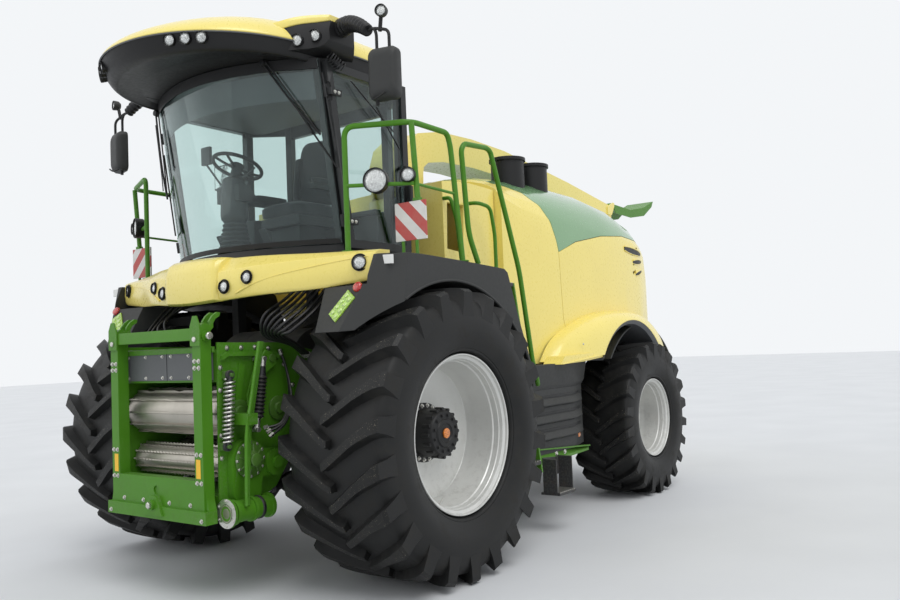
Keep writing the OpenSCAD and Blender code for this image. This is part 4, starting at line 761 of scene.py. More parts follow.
for name, r, count, toothed in (("feed_upper_front", 0.169, 11, False), ("feed_upper_rear", 0.169, 11, False),
                                ("feed_lower_front", 0.117, 12, True), ("feed_lower_rear", 0.117, 12, True)):
    roller(name + "_ribbed_drum", BODY_OF[name], name, r, count, toothed)


# Pendulum frame: what is bolted to its posts and beams
post_x, post_y = 1.300, 0.480
frame_bolts = [at(post_x, s * (post_y + dy), z) for s in (-1, 1) for dy in (-0.022, 0.022)
               for z in (1.60, 1.555, 0.985, 0.80)]
frame_bolts += [at(post_x, y, 0.650) for y in (-0.38, -0.15, 0.15, 0.38)]
frame_bolts += [at(post_x + 0.02, y, 0.560) for y in (-0.52, 0.52)]
pins = []
for s in (-1, 1):
    c = at(1.2575, s * (post_y + 0.044), 1.765)
    pins.append(turned([(0, 0.034), (0.026, 0.034), (0.026, 0.046), (0.021, 0.052), (0, 0.052)], c,
                       (0, s, 0), 28))
    pins.append(turned([(0, 0), (0.033, 0), (0.033, 0.008), (0, 0.008)], at(post_x, s * post_y, 1.745),
                       FORE, 32))
    pins.append(turned([(0, 0), (0.018, 0), (0.018, 0.02), (0.014, 0.024), (0, 0.024)],
                       at(post_x, s * post_y, 1.745), FORE, 24))
latches = joined(*[prism([(s * 0.43, 1.83), (s * 0.46, 1.90), (s * 0.50, 1.90), (s * 0.53, 1.84),
                          (s * 0.53, 1.70), (s * 0.43, 1.70)], 1.302, 1.312, "yz") for s in (-1, 1)])
piece("pendulum_frame_fittings", "pendulum_frame", ("zinc", bolts(frame_bolts, FORE, 0.011, 0.010)),
      ("zinc", *pins), ("green", latches), ("sticker",
                                            both(box((1.3005, 0.450, 0.83), (1.302, 0.496, 0.955)))),
      ("zinc", turned([(0, 0), (0.024, 0), (0.024, 0.014), (0.018, 0.018), (0, 0.018)], at(1.356, 0, 0.632),
                      FORE, 6)), bevel=0.0015)

# Intake housing: dark cover plates, the ledge over them, bolts, shaft ends and side ribs
side = 0.546
plate_bolts = [at(x, s * side, z) for s in (-1, 1)
               for x, z in ((1.10, 1.68), (0.98, 1.68), (0.86, 1.68), (0.74, 1.67), (1.16, 1.55),
                            (1.165, 1.40), (1.165, 1.10), (1.165, 0.95), (0.60, 1.55), (0.52, 1.40))]
ribs = joined(*[prism([(0.66, 1.62), (0.70, 1.645), (1.12, 1.655), (1.16, 1.63), (1.16, 1.60),
                       (1.11, 1.625), (0.70, 1.615), (0.67, 1.59)], a, b)
                for a, b in ((0.5455, 0.575), (-0.575, -0.5455))])
cover = joined(*[prism([(y0, 1.47), (y1, 1.47), (y1, 1.66), (y0, 1.66)], 1.1815, 1.1935, "yz")
                 for y0, y1 in ((-0.50, -0.004), (0.004, 0.50))])
ledge = prism([(1.182, 1.655), (1.205, 1.655), (1.208, 1.69), (1.182, 1.695)], -0.52, 0.52)
shaft_ends = []
for x in (1.020, 0.670):
    for z, r in ((1.245, 0.085), (0.900, 0.062)):
        for s in (-1, 1):
            if s > 0 and z < 1:
                continue
            shaft_ends.append(turned([(0, 0.001), (r, 0.001), (r, 0.014), (r * 0.82, 0.02), (r * 0.5, 0.02),
                                      (r * 0.44, 0.034), (0, 0.034)], at(x, s * 0.545, z), (0, s, 0), 36))
piece("intake_housing_fittings", "intake", ("zinc",
                                            bolts([p for p in plate_bolts if p.y > 0], LEFT, 0.012)),
      ("zinc", bolts([p for p in plate_bolts if p.y < 0], (0, -1, 0), 0.012)), ("green", ribs),
      ("grey_plastic", cover), ("green", ledge), ("cast", *shaft_ends),
      ("zinc", bolts([at(1.1935, y, z) for y in (-0.46, -0.25, -0.05, 0.05, 0.25, 0.46)
                      for z in (1.49, 1.64)], FORE, 0.009)), bevel=0.002)

# A spring on each side of the housing, and the left side's ram and lever
HOUSING_SIDE = 0.5465
spring_top, spring_foot = at(1.130, 0.605, 1.50), at(1.165, 0.605, 1.03)
spring_parts = [coil(along(spring_top, spring_foot, 0.06), along(spring_top, spring_foot, 0.94), 0.034,
                     0.0075, 15)]
spring_eyes = [turned([(0.016, -0.012), (0.032, -0.012), (0.032, 0.012), (0.016, 0.012), (0.016, -0.012)],
                      p, LEFT, 28) for p in (spring_top, spring_foot)]
spring_rod = [rod(spring_top, along(spring_top, spring_foot, 0.12), 0.018),
              rod(along(spring_top, spring_foot, 0.88), spring_foot, 0.018),
              rod(spring_top, spring_foot, 0.009, 12)]
brackets = [box((1.105, HOUSING_SIDE, 1.475), (1.150, 0.590, 1.525)),
            box((1.140, HOUSING_SIDE, 1.005), (1.185, 0.590, 1.055)),
            rod(at(1.130, 0.548, 1.50), at(1.130, 0.635, 1.50), 0.014),
            rod(at(1.165, 0.548, 1.03), at(1.165, 0.635, 1.03), 0.014)]
spring_shapes = (("zinc", *spring_parts), ("chassis", *spring_eyes, *spring_rod), ("cast", *brackets))
for s, hand in SIDES:
    parts = [(stuff, *(x if s > 0 else mirrored(x) for x in shapes)) for stuff, *shapes in spring_shapes]
    piece(f"intake_{hand}_spring", "intake", *parts, bevel=0.0015)

ram_top, ram_foot = at(0.875, 0.640, 1.60), at(0.945, 0.640, 1.12)
bellows = [(0.020, 0.0)]
for k in range(11):
    t = 0.12 + 0.026 * k
    bellows += [(0.033, t), (0.046, t + 0.013)]
bellows += [(0.033, 0.406), (0.020, 0.41)]
ram = [turned(bellows, ram_top, ram_foot - ram_top, 28)]
ram_steel = [rod(along(ram_top, ram_foot, 0.80), ram_foot, 0.020),
             rod(ram_top, along(ram_top, ram_foot, 0.25), 0.026),
             rod(at(0.875, HOUSING_SIDE, 1.60), at(0.875, 0.668, 1.60), 0.017),
             rod(at(0.945, HOUSING_SIDE, 1.12), at(0.945, 0.668, 1.12), 0.017)]
lever = carved(prism([(0.70, 1.56), (0.74, 1.64), (0.80, 1.66), (0.90, 1.54), (0.97, 1.36), (0.97, 1.28),
                      (0.91, 1.27), (0.86, 1.38), (0.80, 1.50)], 0.572, 0.588),
               ("DIFFERENCE", prism([(0.79, 1.60), (0.82, 1.60), (0.90, 1.44), (0.94, 1.33), (0.91, 1.32),
                                     (0.86, 1.44), (0.80, 1.55)], 0.56, 0.60)))
lever_pins = joined(rod(at(0.745, HOUSING_SIDE, 1.60), at(0.745, 0.60, 1.60), 0.028, 28),
                    rod(at(0.935, HOUSING_SIDE, 1.30), at(0.935, 0.60, 1.30), 0.022, 28))
piece("intake_ram_and_lever", "intake", ("hose", *ram), ("zinc", *ram_steel),
      ("green", lever), ("cast", lever_pins), bevel=0.002)


# Drive: cast gearbox with ribs and a bolted cover, over the rigid one, and the flanged header drive
GEAR_X, GEAR_Z = 0.990, 0.925
cover_profile = [(0, 0.0), (0.116, 0.0), (0.124, 0.006), (0.124, 0.016), (0.110, 0.022), (0.098, 0.024),
                 (0.060, 0.034), (0.052, 0.052), (0.046, 0.056), (0.046, 0.078), (0.036, 0.084), (0, 0.084)]
gearbox = [turned(cover_profile, at(GEAR_X, 0.6075, GEAR_Z), LEFT, 56)]
for a in angles(8):
    p, q = (at(GEAR_X, 0.628, GEAR_Z) + spoke(a + 0.2) * r for r in (0.048, 0.104))
    gearbox.append(tube([p + Vector((0, 0.018, 0)), q], 0.007, 8))
gear_bolts = [at(GEAR_X, 0.6235, GEAR_Z) + spoke(a) * 0.112 for a in angles(12)]
DRIVE_Y, DRIVE_Z = 0.6303, 0.600
flange = [at(1.2105, DRIVE_Y + 0.083 * math.cos(a), DRIVE_Z + 0.083 * math.sin(a)) for a in angles(6, 0.5)]
header = turned([(0, 0.0), (0.034, 0.0), (0.034, -0.03), (0.050, -0.03), (0.050, 0.004), (0.058, 0.004),
                 (0.058, -0.002), (0, -0.002)], at(1.2105, DRIVE_Y, DRIVE_Z), FORE, 40)
piece("intake_gearbox_cover", "intake", ("cast", *gearbox), ("zinc", bolts(gear_bolts, LEFT, 0.010)),
      ("zinc", bolts(flange, FORE, 0.008, 0.007)), ("steel", header),
      ("zinc", turned([(0.086, -0.003), (0.096, -0.003), (0.0965, 0.0), (0.096, 0.0012), (0.062, 0.0012),
                       (0.062, -0.001)], at(1.2105, DRIVE_Y, DRIVE_Z), FORE, 56)),
      ("hose", turned([(0.073, 0), (0.079, 0.006), (0.079, 0.022), (0.073, 0.028)],
                      at(0.93, DRIVE_Y, DRIVE_Z), FORE, 40)), bevel=0.0015)


# Hoses between the machine and the intake: they loop under the fascia
def hose_group(name, body, paths, r):
    shapes = [tube(smoothed(path, 8), r, 10) for path in paths]
    ends = [rod(p, along(p, q, 0.25), r * 1.5, 6) for path in paths
            for p, q in ((path[0], path[1]), (path[-1], path[-2]))]
    piece(name, body, ("hose", *shapes), ("zinc", *ends))


loops = []
for k in range(7):
    y = 0.60 + 0.055 * k
    loops.append([at(0.36, y, 2.20), at(0.62, y + 0.01, 2.02 - 0.012 * k),
                  at(0.80, y - 0.02 - 0.01 * k, 1.90 - 0.02 * k), at(0.76, y - 0.07 - 0.025 * k, 1.76),
                  at(0.58, 0.60 + 0.012 * k, 1.69), at(0.42, 0.58 + 0.012 * k, 1.60)])
loops_right = [[Vector((p.x, -p.y, p.z)) for p in path] for path in loops[::2]]
over_the_lift = ("chassis", "intake", at(0.40, 0, 2.16), at(0.40, 0, 1.66))
hose_group("intake_hoses_left", over_the_lift, loops, 0.011)
hose_group("intake_hoses_right", over_the_lift, loops_right, 0.011)
arcs = [[at(0.85, 0.60 + 0.03 * k, 1.12 - 0.03 * k), at(0.74, 0.66 + 0.02 * k, 1.15),
         at(0.66, 0.66 + 0.01 * k, 1.30), at(0.62, 0.60, 1.50), at(0.66, 0.575, 1.66)] for k in range(3)]
hose_group("intake_drive_hoses", "intake", arcs, 0.010)
manifold = box((0.30, 0.55, 2.13), (0.44, 1.02, 2.23))
piece("valve_block_under_cab", "chassis", ("chassis", both(manifold)),
      ("zinc", both(bolts([at(0.441, y, z) for y in (0.60, 0.70, 0.80, 0.90, 0.98) for z in (2.15, 2.21)],
                          FORE, 0.010))), bevel=0.003)


# Cab
def roof_ring(z, nose, front, back, rear, n=40):
    """A roof section: a bow in front, sides that spread towards the back, and tapered rear corners."""
    half = [(rear, back - 0.40), (rear + 0.05, back - 0.33), (-0.22, back - 0.02), (-0.14, back),
            (0.20, back), (0.42, (front + back) / 2)]
    half += [(0.56 + (nose - 0.56) * math.sin(math.pi / 2 * i / n), front * math.cos(math.pi / 2 * i / n))
             for i in range(n)]
    return [at(x, y, z) for x, y in half] + [at(nose, 0, z)] + [at(x, -y, z) for x, y in reversed(half)]


# Roof sections: height, nose's x, half width at the screen and at the doors, rear end's x
visor_rows = smoothed([(3.722, 1.12, 0.80, 0.90, -0.56), (3.700, 1.30, 0.87, 0.955, -0.62),
                       (3.690, 1.37, 0.885, 0.965, -0.63), (3.702, 1.425, 0.90, 0.975, -0.64),
                       (3.752, 1.475, 0.915, 0.985, -0.65), (3.800, 1.505, 0.925, 0.995, -0.66)], 4)
cap_rows = smoothed([(3.800, 1.480, 0.905, 0.985, -0.650), (3.808, 1.510, 0.928, 1.000, -0.665),
                     (3.850, 1.480, 0.912, 0.992, -0.660), (3.900, 1.410, 0.880, 0.965, -0.645),
                     (3.960, 1.290, 0.810, 0.905, -0.61), (4.010, 1.160, 0.715, 0.820, -0.56),
                     (4.050, 1.010, 0.590, 0.72, -0.50), (4.080, 0.860, 0.430, 0.60, -0.42),
                     (4.095, 0.72, 0.25, 0.48, -0.36)], 4)
# Ear sections: y, rear x, front x, and the heights of its foot, seam and top
EARS = [(0.70, 0.10, 0.88, 3.72, 3.83, 3.90), (0.80, 0.14, 0.845, 3.72, 3.865, 3.930),
        (0.92, 0.20, 0.735, 3.735, 3.915, 3.975), (1.01, 0.25, 0.600, 3.77, 3.950, 4.005),
        (1.06, 0.29, 0.540, 3.83, 3.965, 4.010)]


def ear(s, low, high):
    """The roof's side horn that carries a mirror's arm, between two of its heights."""
    rings = []
    for row in smoothed(EARS, 4):
        y, rear, front, z0, z1 = s * row[0], row[1], row[2], row[low], row[high]
        rings.append([at(rear, y, z0), at(front, y, z0), at(front + 0.006, y, (z0 + z1) / 2),
                      at(front - 0.012, y, z1), at(rear, y, z1)])
    return loft(rings)


piece("roof_cap", "chassis", ("yellow", loft([roof_ring(*r) for r in cap_rows])),
      ("yellow", ear(1, 4, 5), ear(-1, 4, 5)), bevel=0.005, segments=3, angle=38, replaces="cab_roof")
rim_path = roof_ring(3.797, 1.512, 0.932, 1.003, -0.668)
piece("roof_visor_shell", "chassis", ("black", loft([roof_ring(*r) for r in visor_rows])),
      ("black", ear(1, 3, 4), ear(-1, 3, 4)), ("grey_plastic", tube(rim_path, 0.006, 6)),
      bevel=0.004, angle=38, replaces="roof_visor")


def lamp(place, way, r, deep=0.05, ring="black"):
    """(bezel, reflector, lens) of a round work lamp."""
    d = Vector(way).normalized()
    bezel = turned([(r * 0.55, -deep), (r * 0.95, -deep * 0.6), (r, 0), (r, 0.012), (r * 0.93, 0.016),
                    (r * 0.90, 0.008), (r * 0.90, -0.004)], place, d, 40)
    bowl = turned([(0, -deep * 0.55), (r * 0.4, -deep * 0.5), (r * 0.75, -deep * 0.25), (r * 0.9, 0.0)],
                  place, d, 40)
    front = turned([(r * 0.90, 0.0), (r * 0.6, 0.008), (0, 0.012)], place, d, 40)
    return (ring, bezel), ("chrome", bowl), ("lamp", front)


lamp_parts = []
for x, y, z in ((1.395, 0.40, 3.757), (1.345, 0.50, 3.757), (1.285, 0.595, 3.757)):
    for s in (-1, 1):
        lamp_parts += lamp(at(x, s * y, z), (1, s * (0.2 + 0.6 * y), -0.25), 0.043)
for s in (-1, 1):
    for x, y, z in ((0.735, 0.93, 3.800), (0.630, 1.00, 3.845)):
        lamp_parts += lamp(at(x, s * y, z), (0.95, s * 0.35, -0.12), 0.045)
beacon_base = at(0.25, 0.56, 4.050)
lamp_parts += [("black", turned([(0, 0), (0.072, 0), (0.075, 0.01), (0.070, 0.034), (0.062, 0.038),
                                 (0, 0.038)], beacon_base, UP, 40)),
               ("amber", turned([(0.060, 0.038), (0.062, 0.044), (0.061, 0.075), (0.055, 0.098),
                                 (0.040, 0.110), (0, 0.114)], beacon_base, UP, 40))]


# Front fascia
FASCIA_HALF = 1.45
# Sections of its left half: share of the half width, x, low, fold, top, deep
sections = ((0, 0.995, 2.005, 2.210, 2.335, 0.300), (0.2, 0.970, 2.018, 2.215, 2.330, 0.290),
            (0.42, 0.880, 2.042, 2.240, 2.325, 0.240), (0.72, 0.700, 2.062, 2.262, 2.310, 0.180),
            (1, 0.585, 2.100, 2.270, 2.300, 0.150))
FASCIA = smoothed([(-share, *row) for share, *row in reversed(sections[1:])] + list(sections), 8)


def fascia_row(y):
    share = y / FASCIA_HALF
    for a, b in zip(FASCIA, FASCIA[1:]):
        if share <= b[0]:
            break
    t = (share - a[0]) / (b[0] - a[0])
    return [p + (q - p) * t for p, q in zip(a, b)][1:]


def fascia_ring(y):
    """The fascia's section: an upright face, a fold, a face that leans back, and its hollow rear."""
    x, low, fold, top, deep = fascia_row(y)
    back = (top - fold) * 0.9
    outer = [(x - deep, top), (x - back - 0.03, top), (x - back - 0.008, top - 0.007),
             (x - 0.012, fold + 0.012), (x, fold), (x + 0.006, (low + fold) / 2), (x - 0.004, low + 0.02),
             (x - 0.020, low)]
    inner = [(x - 0.050, low), (x - 0.034, (low + fold) / 2), (x - 0.040, fold - 0.01),
             (x - back - 0.045, top - 0.03), (x - deep, top - 0.03)]
    return [at(px, y, pz) for px, pz in outer + inner]


def fascia_at(y, z, out=0.0):
    x, low, fold, top, deep = fascia_row(y)
    if z > fold:
        return at(x - (z - fold) * 0.9 + out, y, z)
    bow = 1 - abs(2 * (z - low) / (fold - low) - 1)
    return at(x + 0.006 * bow + out, y, z)


fascia_parts = [("yellow", loft([fascia_ring(FASCIA_HALF * (k / 48 - 1)) for k in range(97)]))]
PANEL_HALF = 0.30
panel = []
for k in range(27):
    y = -PANEL_HALF + 2 * PANEL_HALF * k / 26
    out = 0.020 * min(1, (PANEL_HALF - abs(y)) / 0.022)
    crown = 0.075 * min(1, (PANEL_HALF - abs(y)) / 0.05)
    x, low, fold, top, deep = fascia_row(y)
    face = [(x + out - 0.03, low - 0.004), (x + out, low + 0.012), (x + out + 0.008, (low + fold) / 2),
            (x + out + crown * 0.10, fold + 0.02), (x + out - 0.035 + crown * 0.3, top - 0.030),
            (x + out - 0.085 + crown * 0.3, top + 0.003), (x - 0.18, top + 0.004)]
    panel.append([at(px, y, pz) for px, pz in face] + [at(x - 0.18, y, top - 0.02), at(x - 0.05, y, low)])
fascia_parts.append(("yellow", loft(panel)))
CREASE = ((0.44, 2.060), (0.58, 2.120), (0.74, 2.166), (0.92, 2.200), (1.10, 2.226), (1.28, 2.245),
          (1.40, 2.252))
for s in (-1, 1):
    crease = [fascia_at(s * y, z, 0.001) for y, z in CREASE]
    fascia_parts.append(("yellow", tube(crease, [0.002] + [0.007] * 5 + [0.003], 10, per=6)))

# Lamps of the fascia: y, z, radius, how far it turns outward
FASCIA_LAMPS = ((1.34, 2.215, 0.050, 0.42), (0.54, 2.170, 0.042, 0.2), (0.36, 2.115, 0.044, 0.12))
gaskets = [turned([(r * 1.02, -0.004), (r * 1.22, 0.0025), (r * 1.10, 0.005), (r * 0.98, 0.001)],
                  fascia_at(y, z, 0.002), (1, turn, 0.04), 40) for y, z, r, turn in FASCIA_LAMPS]
fascia_parts.append(("black", both(joined(*gaskets))))
piece("front_fascia", "chassis", *fascia_parts, bevel=0.003, angle=48, replaces="fascia")
for s in (-1, 1):
    for y, z, r, turn in FASCIA_LAMPS:
        lamp_parts += lamp(fascia_at(s * y, z, 0.006), (1, s * turn, 0.04), r, 0.02)

# Lamps on the platform rails, on short stalks
for s in (-1, 1):
    for p, way, r in ((at(0.500, s * 1.40, 2.775), (0.92, s * 0.38, 0), 0.088),
                      (at(0.395, s * 1.60, 2.80), (0.92, s * 0.38, 0), 0.052)):
        lamp_parts += lamp(p, way, r, r * 1.1)
        back = Vector(way).normalized() * r
        lamp_parts.append(("black", tube([p - back * 0.5, p - back + Vector((0, 0, -0.03))], 0.012, 8)))
grouped = {}
for stuff, shape in lamp_parts:
    grouped.setdefault(stuff, []).append(shape)
piece("lamps_and_beacon", "chassis", *[(stuff, *shapes) for stuff, shapes in grouped.items()], bevel=0.0012,
      replaces="lamps", slot="lamp")


# Mirrors on ribbed arms with bent tubes
def mirror(s):
    arm = [at(0.415, s * 1.03, 3.935), at(0.455, s * 1.17, 3.930), at(0.51, s * 1.31, 3.870),
           at(0.54, s * 1.42, 3.795)]
    path = smoothed(arm, 8)
    radii = [0.066 - 0.030 * k / (len(path) - 1) + (0.007 if k % 2 else 0) for k in range(len(path))]
    boot = tube(path, radii, 16)
    c = at(0.545, s * 1.555, 3.465)
    turn = Matrix.Rotation(math.radians(180 + 14 * s), 4, "Z")

    def ring(x, k, corner=0.045):
        out = []
        for q in range(4):
            sy, sz = ((1, 1), (-1, 1), (-1, -1), (1, -1))[q]
            for i in range(7):
                a = math.pi / 2 * (q + i / 6)
                out.append(c + turn @ Vector((x, sy * (0.110 * k - corner) + corner * math.cos(a),
                                              sz * (0.178 * k - corner) + corner * math.sin(a))))
        return out

    shell = loft([ring(x, k) for x, k in ((-0.058, 0.62), (-0.052, 0.78), (-0.040, 0.90), (-0.015, 0.985),
                                          (0.030, 1.0), (0.040, 0.985), (0.040, 0.955), (0.034, 0.95))])
    glass = loft([ring(x, 0.945) for x in (0.0335, 0.0360)])
    tubes = [tube(bent([at(0.540, s * 1.415, 3.80), at(0.545, s * 1.48, 3.795),
                        at(0.548, s * (1.555 + dy), 3.75), at(0.548, s * (1.555 + dy), 3.63)], 0.04), 0.011,
                  12) for dy in (-0.055, 0.055)]
    tubes.append(rod(at(0.56, s * 1.50, 3.315), at(0.56, s * 1.50, 3.255), 0.013))
    tubes.append(tube([at(0.61, s * 1.61, 3.315), at(0.62, s * 1.54, 3.285), at(0.60, s * 1.49, 3.295)],
                      0.007, 8, per=5))
    stalk = tube([at(0.545, s * 1.53, 3.76), at(0.550, s * 1.545, 3.84), at(0.555, s * 1.56, 3.88)], 0.014,
                 10)
    parts = [("black", boot), ("plastic", shell), ("chrome", glass), ("black", *tubes, stalk)]
    parts += lamp(at(0.575, s * 1.57, 3.885), (0.9, s * 0.3, 0), 0.042, 0.05, "plastic")
    return parts


for s, hand in SIDES:
    piece(f"mirror_{hand}", "chassis", *mirror(s), bevel=0.0015, replaces="mirrors" if s > 0 else ())


# Windscreen: leaning forward, and bowed in plan
def lean(z):
    """How far the windscreen has come forward at a height."""
    return 0.19 * (z - 2.40) / 1.32


def screen_at(y, z, out=0.0):
    return at(0.360 + lean(z) + 0.33 * (1 - (y / 0.95) ** 2) + out, y, z)


def screen_strip(z0, z1, y0, y1, out, t, n=30):
    ys = [y0 + (y1 - y0) * k / n for k in range(n + 1)]
    return loft([[screen_at(y, z0, out), screen_at(y, z1, out), screen_at(y, z1, out + t),
                  screen_at(y, z0, out + t)] for y in ys])


# Cab frame: floor, posts, rails and a rear wall between tapered corners, with its panes
REAR_X, REAR_Y, DOOR_X, SIDE_Y, FLOOR, TOP = -0.62, 0.62, -0.33, 0.95, 2.40, 3.719
HEAD = 3.66
CORNER_LOW, CORNER_HIGH = 2.86, 3.64
PANE_HALF, PANE_LOW, PANE_HIGH = 0.56, 2.73, 3.60


def corner_wall(s, z0, z1, inset=0.0, t=0.03):
    """The slanted wall or pane between the door post and the rear wall."""
    a, b = Vector((DOOR_X - 0.01, SIDE_Y - inset)), Vector((REAR_X, REAR_Y - inset))
    n = Vector((a.y - b.y, b.x - a.x)).normalized() * t
    ring = [(a.x, s * a.y), (b.x, s * b.y), (b.x + n.x, s * (b.y + n.y)), (a.x + n.x, s * (a.y + n.y))]
    return prism(ring[::s], z0, z1, "xy")


screen_foot = [screen_at(0.95 - 0.05 * k, FLOOR) for k in range(39)]
plan = [(REAR_X, REAR_Y), (DOOR_X, SIDE_Y)] + [(p.x - AXLE_X, p.y) for p in screen_foot]
cab_parts = [prism((plan + [(DOOR_X, -SIDE_Y), (REAR_X, -REAR_Y)])[::-1], FLOOR - 0.06, FLOOR, "xy"),
             screen_strip(HEAD, TOP, -0.88, 0.88, -0.075, 0.07)]
for s in (-1, 1):
    near, far = sorted((s * 0.88, s * SIDE_Y))
    cab_parts.append(prism([(0.29, FLOOR), (0.36, FLOOR), (0.55, TOP), (0.48, TOP)], near, far))
    cab_parts.append(box((DOOR_X - 0.07, near, FLOOR), (DOOR_X, far, TOP)))
    cab_parts.append(box((REAR_X, min(s * 0.55, s * REAR_Y), FLOOR),
                         (REAR_X + 0.06, max(s * 0.55, s * REAR_Y), TOP)))
    cab_parts.append(prism([(DOOR_X, HEAD), (0.475, HEAD), (0.483, TOP), (DOOR_X, TOP)], near, far))
    cab_parts += [corner_wall(s, FLOOR, CORNER_LOW), corner_wall(s, CORNER_HIGH, TOP)]
    cab_parts += [rod(at(0.352 + 0.144 * (z - FLOOR), s * 0.968, z),
                      at(0.352 + 0.144 * (z + 0.09 - FLOOR), s * 0.968, z + 0.09), 0.017)
                  for z in (2.52, 3.44)]
cab_parts += [box((REAR_X, -PANE_HALF, FLOOR), (REAR_X + 0.05, PANE_HALF, PANE_LOW)),
              box((REAR_X, -PANE_HALF, PANE_HIGH), (REAR_X + 0.05, PANE_HALF, TOP))]
piece("cab_frame", "chassis", ("cab_black", *cab_parts), bevel=0.004, replaces="cab_shell")
panes = [screen_strip(FLOOR + 0.003, TOP - 0.003, -0.946, 0.946, 0.002, 0.006),
         box((REAR_X + 0.015, -PANE_HALF, PANE_LOW), (REAR_X + 0.021, PANE_HALF, PANE_HIGH)),
         prism([(DOOR_X, FLOOR), (0.288, FLOOR), (0.468, HEAD), (DOOR_X, HEAD)], -0.926, -0.920),
         corner_wall(1, CORNER_LOW, CORNER_HIGH, 0.012, 0.006),
         corner_wall(-1, CORNER_LOW, CORNER_HIGH, 0.012, 0.006)]
piece("cab_panes", "chassis", ("glass", *panes), replaces="cab_glass", slot="glass")

# Windscreen trim, sun shade, wipers, and what is on the door
seal = joined(screen_strip(2.403, 2.440, -0.945, 0.945, 0.0145, 0.004),
              screen_strip(3.640, 3.716, -0.945, 0.945, 0.0145, 0.004))
shade = screen_strip(3.44, 3.64, -0.88, 0.88, -0.045, 0.003)
wipers = []
for y0, y1, z0, z1, bow in ((0.62, 0.93, 3.700, 3.02, 0.02), (-0.86, -0.90, 3.660, 2.76, 0.0)):
    arm = [screen_at(y0, z0, 0.045), screen_at(along(y0, y1, 0.5) + bow, along(z0, z1, 0.45), 0.060),
           screen_at(y1, along(z0, z1, 0.78), 0.050)]
    arm2 = [p + Vector((0, 0.035, 0.0)) for p in arm[:2]] + [arm[2]]
    blade = [screen_at(along(y0, y1, t) + 0.02, along(z0, z1, t), 0.024)
             for t in (0.38, 0.55, 0.70, 0.85, 1.0, 1.12)]
    wipers += [tube(arm, 0.008, 8, per=6), tube(arm2, 0.006, 8, per=6), tube(blade, [0.007] * 40, 6, per=4),
               turned([(0, -0.02), (0.028, -0.02), (0.024, 0.012), (0, 0.016)], arm[0], FORE, 20),
               rod(along(blade[0], blade[-1], 0.5), along(blade[0], blade[-1], 0.5) + Vector((0.03, 0, 0)),
                   0.010, 10)]
door_wiper = [at(0.28, 1.004, 3.60), at(0.05, 1.03, 3.42), at(-0.16, 1.024, 3.30)]
door_set = [tube(door_wiper, 0.006, 8, per=5),
            tube([at(0.02, 1.012, 3.46), at(-0.12, 1.010, 3.31), at(-0.24, 1.010, 3.18)], 0.006, 6, per=5)]
piece("windscreen_trim_and_wipers", "chassis", ("black", seal), ("black", *wipers),
      ("grey_plastic", shade), bevel=0.0008)
grips = [tube(bent([at(-0.30, 0.998, 3.05), at(-0.30, 1.055, 3.03), at(-0.30, 1.055, 2.62),
                    at(-0.30, 0.998, 2.60)], 0.04), 0.012, 12)]
hinge_bolts = bolts([at(0.352 + lean(z) - dx, 1.011, z) for z in (2.56, 3.48) for dx in (0.05, 0.09)], LEFT,
                    0.009)
piece("door_fittings", "cab_door", ("black", *door_set, *grips), ("zinc", hinge_bolts), bevel=0.0008)
side_cables = [tube([at(0.56, s * 0.99, 3.60), at(0.50, s * 1.01, 3.20), at(0.48, s * 1.02, 3.05)], 0.005,
                    6, per=4) for s in (-1, 1)]
spiral = coil(at(0.50, 1.01, 3.74), at(0.40, 1.04, 3.66), 0.030, 0.006, 6)
piece("cab_side_cables", "chassis", ("hose", *side_cables))
piece("door_washer_coil", "cab_door", ("hose", spiral))


# Cab interior
def cushion(low, high, crown=0.03, pull=0.012, axis=2):
    """A stuffed block: rounded, crowned on its axis, its sides pulled in between the corners."""
    lo, hi = Vector(low), Vector(high)
    mid, half = (lo + hi) / 2, (hi - lo) / 2
    u, v = [i for i in range(3) if i != axis]
    rings = []
    for level, scale in ((-1, 0.80), (-0.96, 0.92), (-0.8, 0.985), (-0.3, 1.0), (0.3, 1.0), (0.72, 0.985),
                         (0.93, 0.92), (1.0, 0.80), (1.0, 0.5), (1.0, 0.2)):
        ring = []
        for k in range(56):
            a = 2 * math.pi * k / 56
            c, s = math.cos(a), math.sin(a)
            p = Vector((0, 0, 0))
            square = 5.5
            r = (abs(c) ** square + abs(s) ** square) ** (-1 / square)
            waist = 1 - pull / min(half[u], half[v]) * math.cos(2 * a) ** 2 * (1 if abs(level) < 0.9 else 0)
            p[u], p[v] = half[u] * c * r * scale * waist, half[v] * s * r * scale * waist
            rise = crown * (1 - scale ** 2) if level > 0.9 else 0
            p[axis] = half[axis] * level - (crown if level > 0.5 else 0) * 0.9 + rise
            ring.append(at(*(mid + p)))
        rings.append(ring)
    return loft(rings)


seat_shapes = [cushion((-0.36, -0.245, 2.735), (0.125, 0.245, 2.868), 0.03)]
back = cushion((-0.055, -0.235, 0), (0.055, 0.235, 0.60), 0.02, axis=0)
lean_back = Matrix.Rotation(math.radians(-7), 4, "Y")
tilt = Matrix.Translation(at(-0.335, 0, 2.865)) @ lean_back @ Matrix.Translation(-at(0, 0, 0))
seat_shapes.append(moved(back, tilt))
bolsters = [moved(cushion((-0.03, y0, 0.06), (0.085, y1, 0.46), 0.015, 0.006, axis=0), tilt)
            for y0, y1 in ((-0.243, -0.170), (0.170, 0.243))]
seams = [tube([at(x, y, 2.868 - 0.004) for y in (-0.20, -0.1, 0, 0.1, 0.20)], 0.003, 6)
         for x in (-0.20, -0.08, 0.03)]
seat = piece("driver_seat_cushions", "chassis", ("fabric", *seat_shapes, *bolsters), ("interior", *seams),
             replaces="cab_seat", slot="seat_fabric")
rest = cushion((-0.27, 0.275, 2.985), (0.05, 0.345, 3.035), 0.012, 0.004)
rest_right = cushion((-0.29, -0.465, 2.945), (0.06, -0.305, 2.980), 0.012, 0.006)
